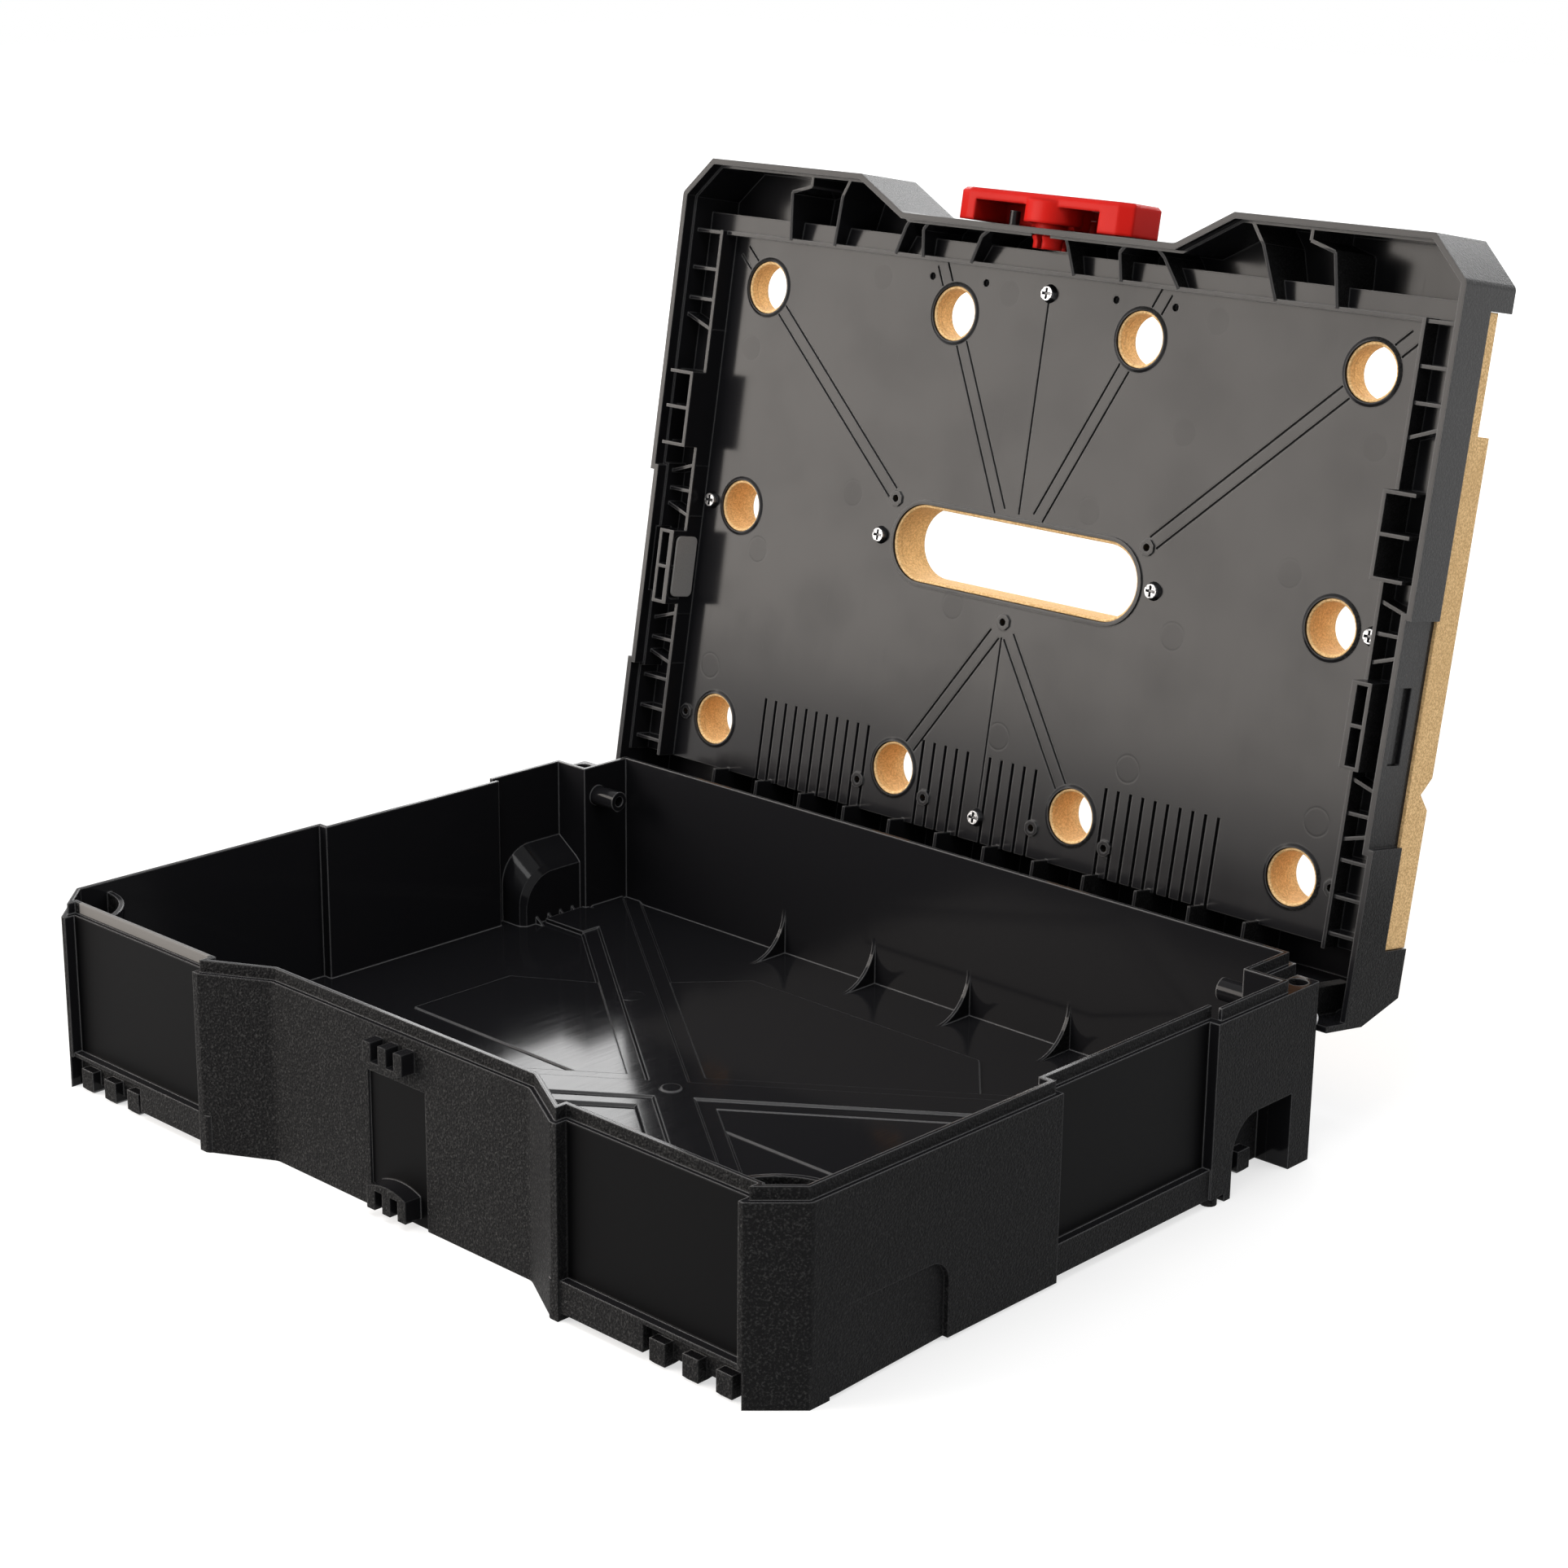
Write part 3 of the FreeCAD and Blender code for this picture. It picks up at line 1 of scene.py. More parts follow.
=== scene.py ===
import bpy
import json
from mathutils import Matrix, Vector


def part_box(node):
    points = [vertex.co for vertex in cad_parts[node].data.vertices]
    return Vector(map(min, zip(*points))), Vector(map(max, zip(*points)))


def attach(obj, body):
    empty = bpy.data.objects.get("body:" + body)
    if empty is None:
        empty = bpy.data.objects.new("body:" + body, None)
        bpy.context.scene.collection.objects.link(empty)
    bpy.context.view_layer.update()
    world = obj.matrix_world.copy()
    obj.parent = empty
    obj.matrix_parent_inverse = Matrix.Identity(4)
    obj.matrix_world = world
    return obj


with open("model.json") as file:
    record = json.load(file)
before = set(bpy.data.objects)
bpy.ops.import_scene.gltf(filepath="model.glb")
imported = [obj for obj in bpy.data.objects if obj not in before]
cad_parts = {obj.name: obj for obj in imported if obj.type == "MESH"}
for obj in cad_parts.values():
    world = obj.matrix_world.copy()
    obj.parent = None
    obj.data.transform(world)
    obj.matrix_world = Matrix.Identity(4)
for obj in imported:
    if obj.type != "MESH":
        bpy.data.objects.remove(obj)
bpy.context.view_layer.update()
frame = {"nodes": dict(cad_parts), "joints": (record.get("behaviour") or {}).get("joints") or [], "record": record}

import json
import math

import bmesh
import bpy
from mathutils import Euler, Matrix, Vector

# Stackable tool case: finishes, thin trim, studio and camera. Lengths are in metres, in the frame of the
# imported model. Places are given from the middle of the base's footprint, and those on the lid with the lid
# closed.

JOINTS = {joint["name"]: joint for joint in frame["joints"]}
BASE_LOW, BASE_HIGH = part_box("base_shell")
MIDDLE = Vector((0.0, (BASE_LOW[1] + BASE_HIGH[1]) / 2, 0.0))
HINGE = Vector(JOINTS["lid_hinge"]["pos_m"]) - MIDDLE
CLOSING_ANGLE = math.radians(JOINTS["lid_hinge"]["range_deg"][1])
FRONT = (0.0, -1.0, 0.0)

# Camera
CAMERA_AT = (0.7680, -0.7472, 0.4574)
CAMERA_TURN_DEG = (73.085, -0.614, 43.745)
CAMERA_LENS_MM = 69.6
SENSOR_MM = 36.0

# Studio: light of the surround, and the floor, which turns white away from the case
WHITE = (1.0, 1.0, 1.0)
WORLD_LIGHT = 0.7
FLOOR_SIZE = 6.0
FLOOR_GREY = (0.45, 0.45, 0.45)
FLOOR_ROUGH = 0.9
FLOOR_WHITE = 0.6
FLOOR_NEAR = 0.7
FLOOR_FAR = 2.4

# Softboxes: name, place, width, height, power in watts and colour
LIGHT_AIM = (0.0, 0.0, 0.12)
SOFTBOXES = (
    ("key_softbox", (-1.25, -1.45, 0.67), 1.6, 1.2, 50.0, (1.0, 0.925, 0.85)),
    ("back_softbox", (-1.05, 2.1, 1.08), 2.5, 0.6, 34.0, WHITE),
    ("top_softbox", (0.10, -0.66, 1.75), 1.2, 0.4, 10.0, WHITE),
    ("side_softbox", (1.5, 0.9, 0.9), 1.0, 0.9, 8.0, WHITE),
)

# Moulded grain. Its turn keeps the noise off the axes, where it would lose contrast.
GRAIN_SIZE = 0.00085
GRAIN_DEPTH = 0.0008
GRAIN_TURN = (0.6, 0.4, 0.9)
GRAIN_NOISE_SHARE = 0.7
GRAIN_CELL_SHARE = 0.5
# Light flecks painted on the grain as its glints; on walls turned from the front, away from the key light, they
# fade to a share
GLINT_RANGE = (0.47, 0.73)
GLINT_FRONT_RANGE = (0.2, 0.7)
GLINT_SIDE_SHARE = 0.45

# Smudges and fine rubbing of a handled surface
SMUDGE_SIZE = 0.045
SMUDGE_RANGE = (0.35, 0.75)
RUB_SIZE = 0.0009
RUB_TURN = (0.3, 0.2, 0.7)
RUB_STRETCH = (1.0, 0.06, 0.4)
RUB_RANGE = (0.58, 0.75)
RUB_ROUGH = 0.08
RUB_DULL = 0.02

# Rounded edges, and how strongly a pale highlight is painted on them, inside and outside
EDGE_ROUND = 0.0011
EDGE_SAMPLES = 6
HIGHLIGHT_RANGE = (0.02, 0.2)
HIGHLIGHT_INSIDE = 0.6
HIGHLIGHT_OUTSIDE = 0.12

# Draw marks of the mould on the polished inside
DRAW_SIZE = 0.0012
DRAW_STRETCH = (1.0, 0.03, 1.0)
DRAW_RANGE = (0.35, 0.65)
DRAW_ROUGH = (-0.02, 0.03)

# Round marks of the ejector pins on the lid panel and on the floor of the base
MARK_R = 0.0055
MARK_LINE = 0.0008
MARK_DEPTH = 0.05
MARK_ROUGH = 0.03
PANEL_MARK_Z = 0.0866
PANEL_MARKS = (
    (-0.161, -0.069), (0.161, -0.069), (-0.091, -0.015), (0.075, -0.063), (0.083, -0.107), (-0.090, -0.107),
    (-0.021, -0.107), (0.035, -0.026), (0.084, 0.016), (-0.028, 0.023), (-0.162, 0.073), (0.162, 0.073),
    (0.0055, 0.0717), (0.0722, 0.0714), (0.133, -0.017), (-0.142, 0.0175),
)
FLOOR_MARK_Z = 0.0087
FLOOR_MARKS = ((-0.082, 0.057), (0.087, 0.058), (-0.082, -0.070), (0.087, -0.070))

# Black plastic: colours, and roughness of the grained, label and satin places
POLISHED_BLACK = (0.009, 0.009, 0.0102)
LABEL_BLACK = (0.002, 0.002, 0.0023)
SATIN_BLACK = (0.15, 0.145, 0.14)
GRAINED_ROUGH = 0.55
LABEL_ROUGH = 0.48
SATIN_ROUGH = 0.45
OUTWARD_RANGE = (0.02, 0.06)

# Skins of the shells: grain, its flecks painted as glints and the pale highlight painted on edges, roughness
# and coat of the polish from clean to smudged, then the mirror level of the plastic and the roughness of its coat
BASE_SKIN = {
    "grain": (0.0085, 0.0085, 0.0090),
    "glint": (0.040, 0.040, 0.040),
    "edge": (0.28, 0.28, 0.285),
    "polish": (0.115, 0.122),
    "coat": (0.165, 0.155),
    "mirror": 0.045,
    "coat_rough": 0.10,
}
LID_SKIN = {
    "grain": (0.008, 0.008, 0.0083),
    "glint": (0.026, 0.026, 0.026),
    "edge": (0.13, 0.13, 0.132),
    "polish": (0.14, 0.22),
    "coat": (0.235, 0.190),
    "mirror": 0.06,
    "coat_rough": 0.16,
}

# Coat of the front wall of the lid, and of its sides, which fades to the rear
FRONT_SHEEN = 0.18
FRONT_SHEEN_RANGE = (0.4, 0.8)
SIDE_SHEEN = 0.45
SIDE_SHEEN_RANGE = (0.6, 0.9)
SIDE_SHEEN_FULL_Y = 0.02
SIDE_SHEEN_END_Y = 0.11

# Places on the right half of the base, as low and high corners: smooth label panels and latch pad, and the
# latch lugs, whose edges take only the faint painted highlight of the outside
PLACE_EDGE = 0.0005
SMOOTH_PLACES = (
    ((0.098, -0.1435, 0.0146), (0.180, -0.1415, 0.0702)),
    ((0.1915, -0.011, 0.0146), (0.1935, 0.076, 0.0702)),
    ((-0.001, -0.1325, -0.010), (0.0156, -0.1310, 0.0525)),
)
LUG_PLACE = ((-0.001, -0.1500, -0.010), (0.022, -0.1322, 0.0760))

# Satin rim over the left label panel of the base
SATIN_LOW = (-0.1795, -0.1428, 0.0702)
SATIN_HIGH = (-0.097, -0.1385, 0.0750)

# Fibreboard: fibre colours of the faces and of the cut walls, dark to light, with clouds and dark chips
BOARD_FACE = ((0.49, 0.31, 0.135), (0.84, 0.58, 0.295))
# The cut walls are lighter: partly paler cut fibre, partly light painted into the shaded bores and slot
BOARD_CUT = ((0.60, 0.36, 0.138), (0.86, 0.56, 0.25))
BOARD_CLOUD = (0.55, 0.35, 0.155)
BOARD_CHIP = (0.32, 0.18, 0.072)
BOARD_MIRROR = 0.12
FIBRE_SIZE = 0.0008
FIBRE_RANGE = (0.38, 0.62)
FIBRE_DEPTH = 0.00012
FIBRE_ROUGH_RANGE = (0.2, 0.8)
FIBRE_ROUGH = (0.62, 0.8)
CLOUD_SIZE = 0.03
CLOUD_RANGE = (0.35, 0.75)
CLOUD_SHARE = 0.35
CHIP_SIZE = 0.0016
CHIP_RANGE = (0.60, 0.74)
CHIP_SHARE = 0.45

# Stretch of the board that holds the holes and the hand slot, right half, and slant at which a wall is a cut
BOARD_MIDDLE = ((-0.001, -0.1195, 0.080), (0.190, 0.1125, 0.110))
CUT_RANGE = (0.3, 0.7)

# Red latch, clean and smudged
LATCH_RED = (0.45, 0.009, 0.006)
LATCH_RED_SMUDGED = (0.39, 0.008, 0.0055)
LATCH_ROUGH = (0.36, 0.44)
LATCH_MIRROR = 0.06
LATCH_GRAIN_SIZE = 0.0005
LATCH_GRAIN_DEPTH = 0.00003
LATCH_EDGE = 0.0020

# Satin pads, painted light grey as a painted reflection of the light that the lid panel shows too
PAD_PAINTED_LIGHT = ((0.28, 0.27, 0.26), (0.35, 0.34, 0.33))
PAD_MIRROR = 0.12
PAD_GRAIN_SIZE = 0.0006
PAD_GRAIN_DEPTH = 0.00005
PAD_ROUGH_RANGE = (0.3, 0.7)
PAD_ROUGH = (0.40, 0.52)
PAD_EDGE = 0.0004

# Steel: bright and dark spangle and least roughness of the screws and of the pins
ZINC = {"bright": (0.36, 0.365, 0.375), "dark": (0.12, 0.122, 0.126), "rough": 0.26}
PIN_STEEL = {"bright": (0.50, 0.50, 0.51), "dark": (0.36, 0.36, 0.37), "rough": 0.3}
SPANGLE_SIZE = 0.0009
SPANGLE_RANGE = (0.35, 0.65)
SPANGLE_ROUGH_RANGE = (0.3, 0.7)
SPANGLE_ROUGH = 0.15
SPANGLE_DEPTH = 0.00002
STEEL_EDGE = 0.0003

# Top of the screw heads, and depth over which shade is painted into their recess and under their rim
HEAD_TOP_Z = 0.0843
HEAD_RECESS = 0.0009
RECESS_SHADE = (0.03, 0.03, 0.032)
RECESS_SHADE_SHARE = 0.85

# Plates in the sides of the lid, right half: blind back of the window, and pad on the inner face
BLIND_LOW = (0.1932, 0.01505, 0.07355)
BLIND_HIGH = (0.1941, 0.04395, 0.08195)
BLIND_ROUND = 0.0006
PAD_LOW = (0.1773, 0.0175, 0.0720)
PAD_HIGH = (0.1781, 0.0445, 0.0845)
PAD_ROUND = 0.0025
ROUND_SEGMENTS = 5

# Lips of bare board in the openings of the lid panel, as steps out from the bore and levels
DOG_R = 0.010
SLOT_R = 0.015
SLOT_HALF = 0.048
LIP_PROFILE = ((0.0, 0.0900), (0.0, 0.0874), (0.0004, 0.0868), (0.0012, 0.0868), (0.0012, 0.0900))
LIP_STEPS = 56


def add(tree, kind, **settings):
    """New node with its settings."""
    node = tree.nodes.new(kind)
    for key, value in settings.items():
        setattr(node, key, value)
    return node


def wire(tree, source, target):
    tree.links.new(source, target)


def maths(tree, operation, first, second=None, clamp=False):
    """Math node on sockets or plain numbers; returns its output."""
    node = add(tree, "ShaderNodeMath", operation=operation, use_clamp=clamp)
    for index, value in enumerate((first, second)):
        if value is None:
            continue
        if isinstance(value, float):
            node.inputs[index].default_value = value
        else:
            wire(tree, value, node.inputs[index])
    return node.outputs[0]


def vector_maths(tree, operation, first, second):
    """Vector math node on sockets or plain vectors; returns its output."""
    node = add(tree, "ShaderNodeVectorMath", operation=operation)
    for index, value in enumerate((first, second)):
        if isinstance(value, (tuple, Vector)):
            node.inputs[index].default_value = value
        else:
            wire(tree, value, node.inputs[index])
    return node.outputs["Value" if operation in ("DOT_PRODUCT", "DISTANCE") else "Vector"]


def axes(tree, vector):
    """Outputs X, Y and Z of a vector."""
    node = add(tree, "ShaderNodeSeparateXYZ")
    wire(tree, vector, node.inputs[0])
    return node.outputs


def ramp(tree, value, low, high, start=0.0, end=1.0):
    """Smooth step of a value from one range to another."""
    node = add(tree, "ShaderNodeMapRange", interpolation_type="SMOOTHSTEP")
    wire(tree, value, node.inputs["Value"])
    for name, number in (("From Min", low), ("From Max", high), ("To Min", start), ("To Max", end)):
        node.inputs[name].default_value = number
    return node.outputs["Result"]


def blend_colour(tree, mask, first, second):
    """first where the mask is 0 and second where it is 1, on sockets or plain colours."""
    node = add(tree, "ShaderNodeMix", data_type="RGBA")
    if isinstance(mask, float):
        node.inputs["Factor"].default_value = mask
    else:
        wire(tree, mask, node.inputs["Factor"])
    for name, value in (("A", first), ("B", second)):
        socket = next(s for s in node.inputs if s.name == name and s.type == "RGBA")
        if isinstance(value, tuple):
            socket.default_value = value + (1.0,)
        else:
            wire(tree, value, socket)
    return next(s for s in node.outputs if s.type == "RGBA")


def blend_value(tree, mask, first, second):
    """first where the mask is 0 and second where it is 1, on sockets or numbers."""
    span = maths(tree, "SUBTRACT", second, first)
    return maths(tree, "ADD", maths(tree, "MULTIPLY", span, mask), first)


def most(tree, masks):
    """Greatest of several masks."""
    result = masks[0]
    for mask in masks[1:]:
        result = maths(tree, "MAXIMUM", result, mask)
    return result


def mapped(tree, vector, turn=(0.0, 0.0, 0.0), stretch=(1.0, 1.0, 1.0)):
    """Place turned and stretched for a texture."""
    node = add(tree, "ShaderNodeMapping")
    wire(tree, vector, node.inputs["Vector"])
    node.inputs["Rotation"].default_value = turn
    node.inputs["Scale"].default_value = stretch
    return node.outputs["Vector"]


def noise(tree, vector, size, detail=2.0, roughness=0.5):
    """Noise with features of about the given size."""
    node = add(tree, "ShaderNodeTexNoise")
    wire(tree, vector, node.inputs["Vector"])
    node.inputs["Scale"].default_value = 1.0 / size
    node.inputs["Detail"].default_value = detail
    node.inputs["Roughness"].default_value = roughness
    return node.outputs[0]


def new_group(name, inputs, outputs):
    """Node group with its input and output nodes."""
    group = bpy.data.node_groups.new(name, "ShaderNodeTree")
    for label, kind in inputs:
        group.interface.new_socket(label, in_out="INPUT", socket_type=kind)
    for label, kind in outputs:
        group.interface.new_socket(label, in_out="OUTPUT", socket_type=kind)
    return group, add(group, "NodeGroupInput"), add(group, "NodeGroupOutput")


def grain_group():
    """Spark-eroded grain of a moulded skin: a height, and a mask of light flecks painted on it as its glints."""
    group, source, result = new_group(
        "moulded_grain",
        [("Vector", "NodeSocketVector")],
        [("Height", "NodeSocketFloat"), ("Glint", "NodeSocketFloat")])
    vector = mapped(group, source.outputs["Vector"], turn=GRAIN_TURN)
    coarse = noise(group, vector, GRAIN_SIZE, detail=3.0, roughness=0.6)
    cells = add(group, "ShaderNodeTexVoronoi", feature="SMOOTH_F1")
    wire(group, vector, cells.inputs["Vector"])
    cells.inputs["Scale"].default_value = 1.0 / GRAIN_SIZE
    bumps = maths(group, "SUBTRACT", 1.0, cells.outputs["Distance"])
    bumps = maths(group, "MULTIPLY", bumps, GRAIN_CELL_SHARE)
    height = maths(group, "ADD", maths(group, "MULTIPLY", coarse, GRAIN_NOISE_SHARE), bumps)
    wire(group, height, result.inputs["Height"])
    wire(group, ramp(group, coarse, *GLINT_RANGE), result.inputs["Glint"])
    return group


def marks_group():
    """Faint smudges and fine rubbing that vary the gloss of a handled surface."""
    group, source, result = new_group(
        "handling_marks",
        [("Vector", "NodeSocketVector")],
        [("Smudge", "NodeSocketFloat"), ("Rub", "NodeSocketFloat")])
    vector = source.outputs["Vector"]
    cloud = noise(group, vector, SMUDGE_SIZE, detail=4.0, roughness=0.55)
    wire(group, ramp(group, cloud, *SMUDGE_RANGE), result.inputs["Smudge"])
    strokes = noise(group, mapped(group, vector, RUB_TURN, RUB_STRETCH), RUB_SIZE, detail=3.0, roughness=0.6)
    wire(group, ramp(group, strokes, *RUB_RANGE), result.inputs["Rub"])
    return group


def box_group():
    """Mask that is 1 inside a box and fades over a short edge."""
    group, source, result = new_group(
        "inside_box",
        [("Vector", "NodeSocketVector"), ("Low", "NodeSocketVector"), ("High", "NodeSocketVector"),
         ("Edge", "NodeSocketFloat")],
        [("Mask", "NodeSocketFloat")])
    above = vector_maths(group, "SUBTRACT", source.outputs["Vector"], source.outputs["Low"])
    below = vector_maths(group, "SUBTRACT", source.outputs["High"], source.outputs["Vector"])
    depth = axes(group, vector_maths(group, "MINIMUM", above, below))
    least = maths(group, "MINIMUM", depth["X"], depth["Y"])
    least = maths(group, "MINIMUM", least, depth["Z"])
    wire(group, maths(group, "DIVIDE", least, source.outputs["Edge"], clamp=True), result.inputs["Mask"])
    return group


def edges_group():
    """Rounded edges: the softened normal, and a mask of the edges on which a pale highlight is painted."""
    group, source, result = new_group(
        "rounded_edges",
        [("Radius", "NodeSocketFloat")],
        [("Normal", "NodeSocketVector"), ("Highlight", "NodeSocketFloat")])
    soft = add(group, "ShaderNodeBevel", samples=EDGE_SAMPLES)
    wire(group, source.outputs["Radius"], soft.inputs["Radius"])
    plain = add(group, "ShaderNodeNewGeometry").outputs["Normal"]
    turn = maths(group, "SUBTRACT", 1.0, vector_maths(group, "DOT_PRODUCT", soft.outputs["Normal"], plain))
    wire(group, soft.outputs["Normal"], result.inputs["Normal"])
    wire(group, ramp(group, turn, *HIGHLIGHT_RANGE), result.inputs["Highlight"])
    return group


def ejector_group():
    """Round mark of an ejector pin: its outline and its slightly duller middle."""
    group, source, result = new_group(
        "ejector_mark",
        [("Vector", "NodeSocketVector"), ("Centre", "NodeSocketVector")],
        [("Line", "NodeSocketFloat"), ("Middle", "NodeSocketFloat")])
    away = vector_maths(group, "DISTANCE", source.outputs["Vector"], source.outputs["Centre"])
    off_line = maths(group, "ABSOLUTE", maths(group, "SUBTRACT", away, MARK_R))
    wire(group, ramp(group, off_line, 0.0, MARK_LINE, 1.0, 0.0), result.inputs["Line"])
    wire(group, ramp(group, away, MARK_R - MARK_LINE, MARK_R, 1.0, 0.0), result.inputs["Middle"])
    return group


GRAIN = grain_group()
MARKS = marks_group()
INSIDE_BOX = box_group()
EDGES = edges_group()
EJECTOR = ejector_group()


def use_group(tree, group, **values):
    """Node that uses a group, with sockets or constants on its inputs."""
    node = add(tree, "ShaderNodeGroup", node_tree=group)
    for name, value in values.items():
        if isinstance(value, (tuple, float)):
            node.inputs[name].default_value = value
        else:
            wire(tree, value, node.inputs[name])
    return node


def new_material(name, **settings):
    """Material with its principled shader; settings are constant values on the shader's own sockets."""
    material = bpy.data.materials.new(name)
    material.use_nodes = True
    tree = material.node_tree
    shader = tree.nodes["Principled BSDF"]
    for label, value in settings.items():
        shader.inputs[label.replace("_", " ")].default_value = value
    return material, tree, shader


def object_vector(tree):
    """Place on the case, from the middle of its footprint."""
    return vector_maths(tree, "SUBTRACT", add(tree, "ShaderNodeTexCoord").outputs["Object"], MIDDLE)


def face_direction(tree):
    return add(tree, "ShaderNodeNewGeometry").outputs["Normal"]


def closed_lid(tree, vector):
    """Place and direction turned from the open lid to the closed one."""
    turn = Matrix.Rotation(CLOSING_ANGLE, 3, "X")
    place = add(tree, "ShaderNodeMapping", vector_type="POINT")
    wire(tree, vector, place.inputs["Vector"])
    place.inputs["Rotation"].default_value = (CLOSING_ANGLE, 0.0, 0.0)
    place.inputs["Location"].default_value = HINGE - turn @ HINGE
    face = add(tree, "ShaderNodeMapping", vector_type="NORMAL")
    wire(tree, face_direction(tree), face.inputs["Vector"])
    face.inputs["Rotation"].default_value = (CLOSING_ANGLE, 0.0, 0.0)
    return place.outputs["Vector"], face.outputs["Vector"]


def finish_normal(tree, shader, height, depth, edge=EDGE_ROUND):
    """Rounded edges and a bumped skin on the shader's normal; returns the mask of edges for a painted highlight.
    """
    edges = use_group(tree, EDGES, Radius=edge)
    bump = add(tree, "ShaderNodeBump")
    bump.inputs["Distance"].default_value = depth
    wire(tree, edges.outputs["Normal"], bump.inputs["Normal"])
    wire(tree, height, bump.inputs["Height"])
    wire(tree, bump.outputs["Normal"], shader.inputs["Normal"])
    return edges.outputs["Highlight"]


def outward_mask(tree, place, face):
    """1 on walls that face away from the middle of the case."""
    flat = vector_maths(tree, "MULTIPLY", face, (1.0, 1.0, 0.0))
    return ramp(tree, vector_maths(tree, "DOT_PRODUCT", flat, place), *OUTWARD_RANGE)


def inside_place(tree, place, low, high):
    """Mask of one box."""
    return use_group(tree, INSIDE_BOX, Vector=place, Low=low, High=high, Edge=PLACE_EDGE).outputs["Mask"]


def inside_places(tree, place, places):
    """Mask of several boxes, given on the right half and folded onto the left."""
    left = vector_maths(tree, "MULTIPLY", place, (-1.0, 1.0, 1.0))
    folded = vector_maths(tree, "MAXIMUM", place, left)
    return most(tree, [inside_place(tree, folded, low, high) for low, high in places])


def ejector_marks(tree, place, spots, level):
    """Masks of the outlines and of the middles of all marks at one level."""
    marks = [use_group(tree, EJECTOR, Vector=place, Centre=(x, y, level)) for x, y in spots]
    return [most(tree, [mark.outputs[name] for mark in marks]) for name in ("Line", "Middle")]


def draw_marks(tree, place):
    """Fine draw marks of the mould, from front to back."""
    return noise(tree, mapped(tree, place, stretch=DRAW_STRETCH), DRAW_SIZE, detail=3.0, roughness=0.6)


def black_plastic(tree, shader, place, outside, smooth, satin, glint_facing, sheen, marks, skin):
    """Grained skin outside and polished skin inside, with ejector marks, smudges, painted glints and painted edge
    highlights.

    outside, smooth and satin are masks of the places, glint_facing dims the painted glints, and sheen is the coat
    outside.
    """
    grained = maths(tree, "SUBTRACT", outside, smooth, clamp=True)
    grain = use_group(tree, GRAIN, Vector=place)
    handling = use_group(tree, MARKS, Vector=place)
    smudge = handling.outputs["Smudge"]
    rub = handling.outputs["Rub"]
    line, middle = marks

    height = maths(tree, "MULTIPLY", grain.outputs["Height"], grained)
    height = maths(tree, "SUBTRACT", height, maths(tree, "MULTIPLY", line, MARK_DEPTH))
    highlight_edges = finish_normal(tree, shader, height, GRAIN_DEPTH)

    # Light flecks painted on the grain as glints, fuller on walls that face the front and the key light
    glint = maths(tree, "MULTIPLY", grain.outputs["Glint"], glint_facing)
    colour = blend_colour(tree, outside, POLISHED_BLACK, LABEL_BLACK)
    colour = blend_colour(tree, grained, colour, blend_colour(tree, glint, skin["grain"], skin["glint"]))
    colour = blend_colour(tree, satin, colour, SATIN_BLACK)
    # Pale colour painted on rounded edges as a highlight, faint outside and on the latch lugs
    calm = most(tree, [outside, inside_places(tree, place, (LUG_PLACE,))])
    edge_highlight = maths(tree, "MULTIPLY", highlight_edges, blend_value(tree, calm, HIGHLIGHT_INSIDE, HIGHLIGHT_OUTSIDE))
    wire(tree, blend_colour(tree, edge_highlight, colour, skin["edge"]), shader.inputs["Base Color"])

    rough = blend_value(tree, smudge, *skin["polish"])
    rough = maths(tree, "ADD", rough, maths(tree, "MULTIPLY", rub, RUB_ROUGH))
    rough = maths(tree, "ADD", rough, ramp(tree, draw_marks(tree, place), *DRAW_RANGE, *DRAW_ROUGH))
    rough = maths(tree, "ADD", rough, maths(tree, "MULTIPLY", middle, MARK_ROUGH))
    rough = blend_value(tree, satin, rough, SATIN_ROUGH)
    rough = blend_value(tree, outside, rough, LABEL_ROUGH)
    wire(tree, blend_value(tree, grained, rough, GRAINED_ROUGH), shader.inputs["Roughness"])

    dulled = maths(tree, "MULTIPLY", most(tree, [middle, rub]), RUB_DULL)
    coat = maths(tree, "SUBTRACT", blend_value(tree, smudge, *skin["coat"]), dulled)
    wire(tree, blend_value(tree, outside, coat, sheen), shader.inputs["Coat Weight"])


def shell_material(name, skin):
    return new_material(name, Specular_IOR_Level=skin["mirror"], Coat_Roughness=skin["coat_rough"])


def black_base():
    material, tree, shader = shell_material("black_case", BASE_SKIN)
    place = object_vector(tree)
    face = face_direction(tree)
    outside = outward_mask(tree, place, face)
    satin = inside_place(tree, place, SATIN_LOW, SATIN_HIGH)
    smooth = most(tree, [inside_places(tree, place, SMOOTH_PLACES), satin])
    # Painted glints fade on walls turned from the front, which the key light reaches less
    front = vector_maths(tree, "DOT_PRODUCT", face, FRONT)
    glint_facing = ramp(tree, front, *GLINT_FRONT_RANGE, GLINT_SIDE_SHARE, 1.0)
    marks = ejector_marks(tree, place, FLOOR_MARKS, FLOOR_MARK_Z)
    black_plastic(tree, shader, place, outside, smooth, satin, glint_facing, 0.0, marks, BASE_SKIN)
    return material


def lid_sheen(tree, place, face):
    """Coat of the front wall and of the sides of the lid."""
    front = vector_maths(tree, "DOT_PRODUCT", face, FRONT)
    front = ramp(tree, front, *FRONT_SHEEN_RANGE, 0.0, FRONT_SHEEN)
    side = ramp(tree, maths(tree, "ABSOLUTE", axes(tree, face)["X"]), *SIDE_SHEEN_RANGE)
    fade = ramp(tree, axes(tree, place)["Y"], SIDE_SHEEN_FULL_Y, SIDE_SHEEN_END_Y, SIDE_SHEEN, 0.0)
    return maths(tree, "ADD", front, maths(tree, "MULTIPLY", side, fade))


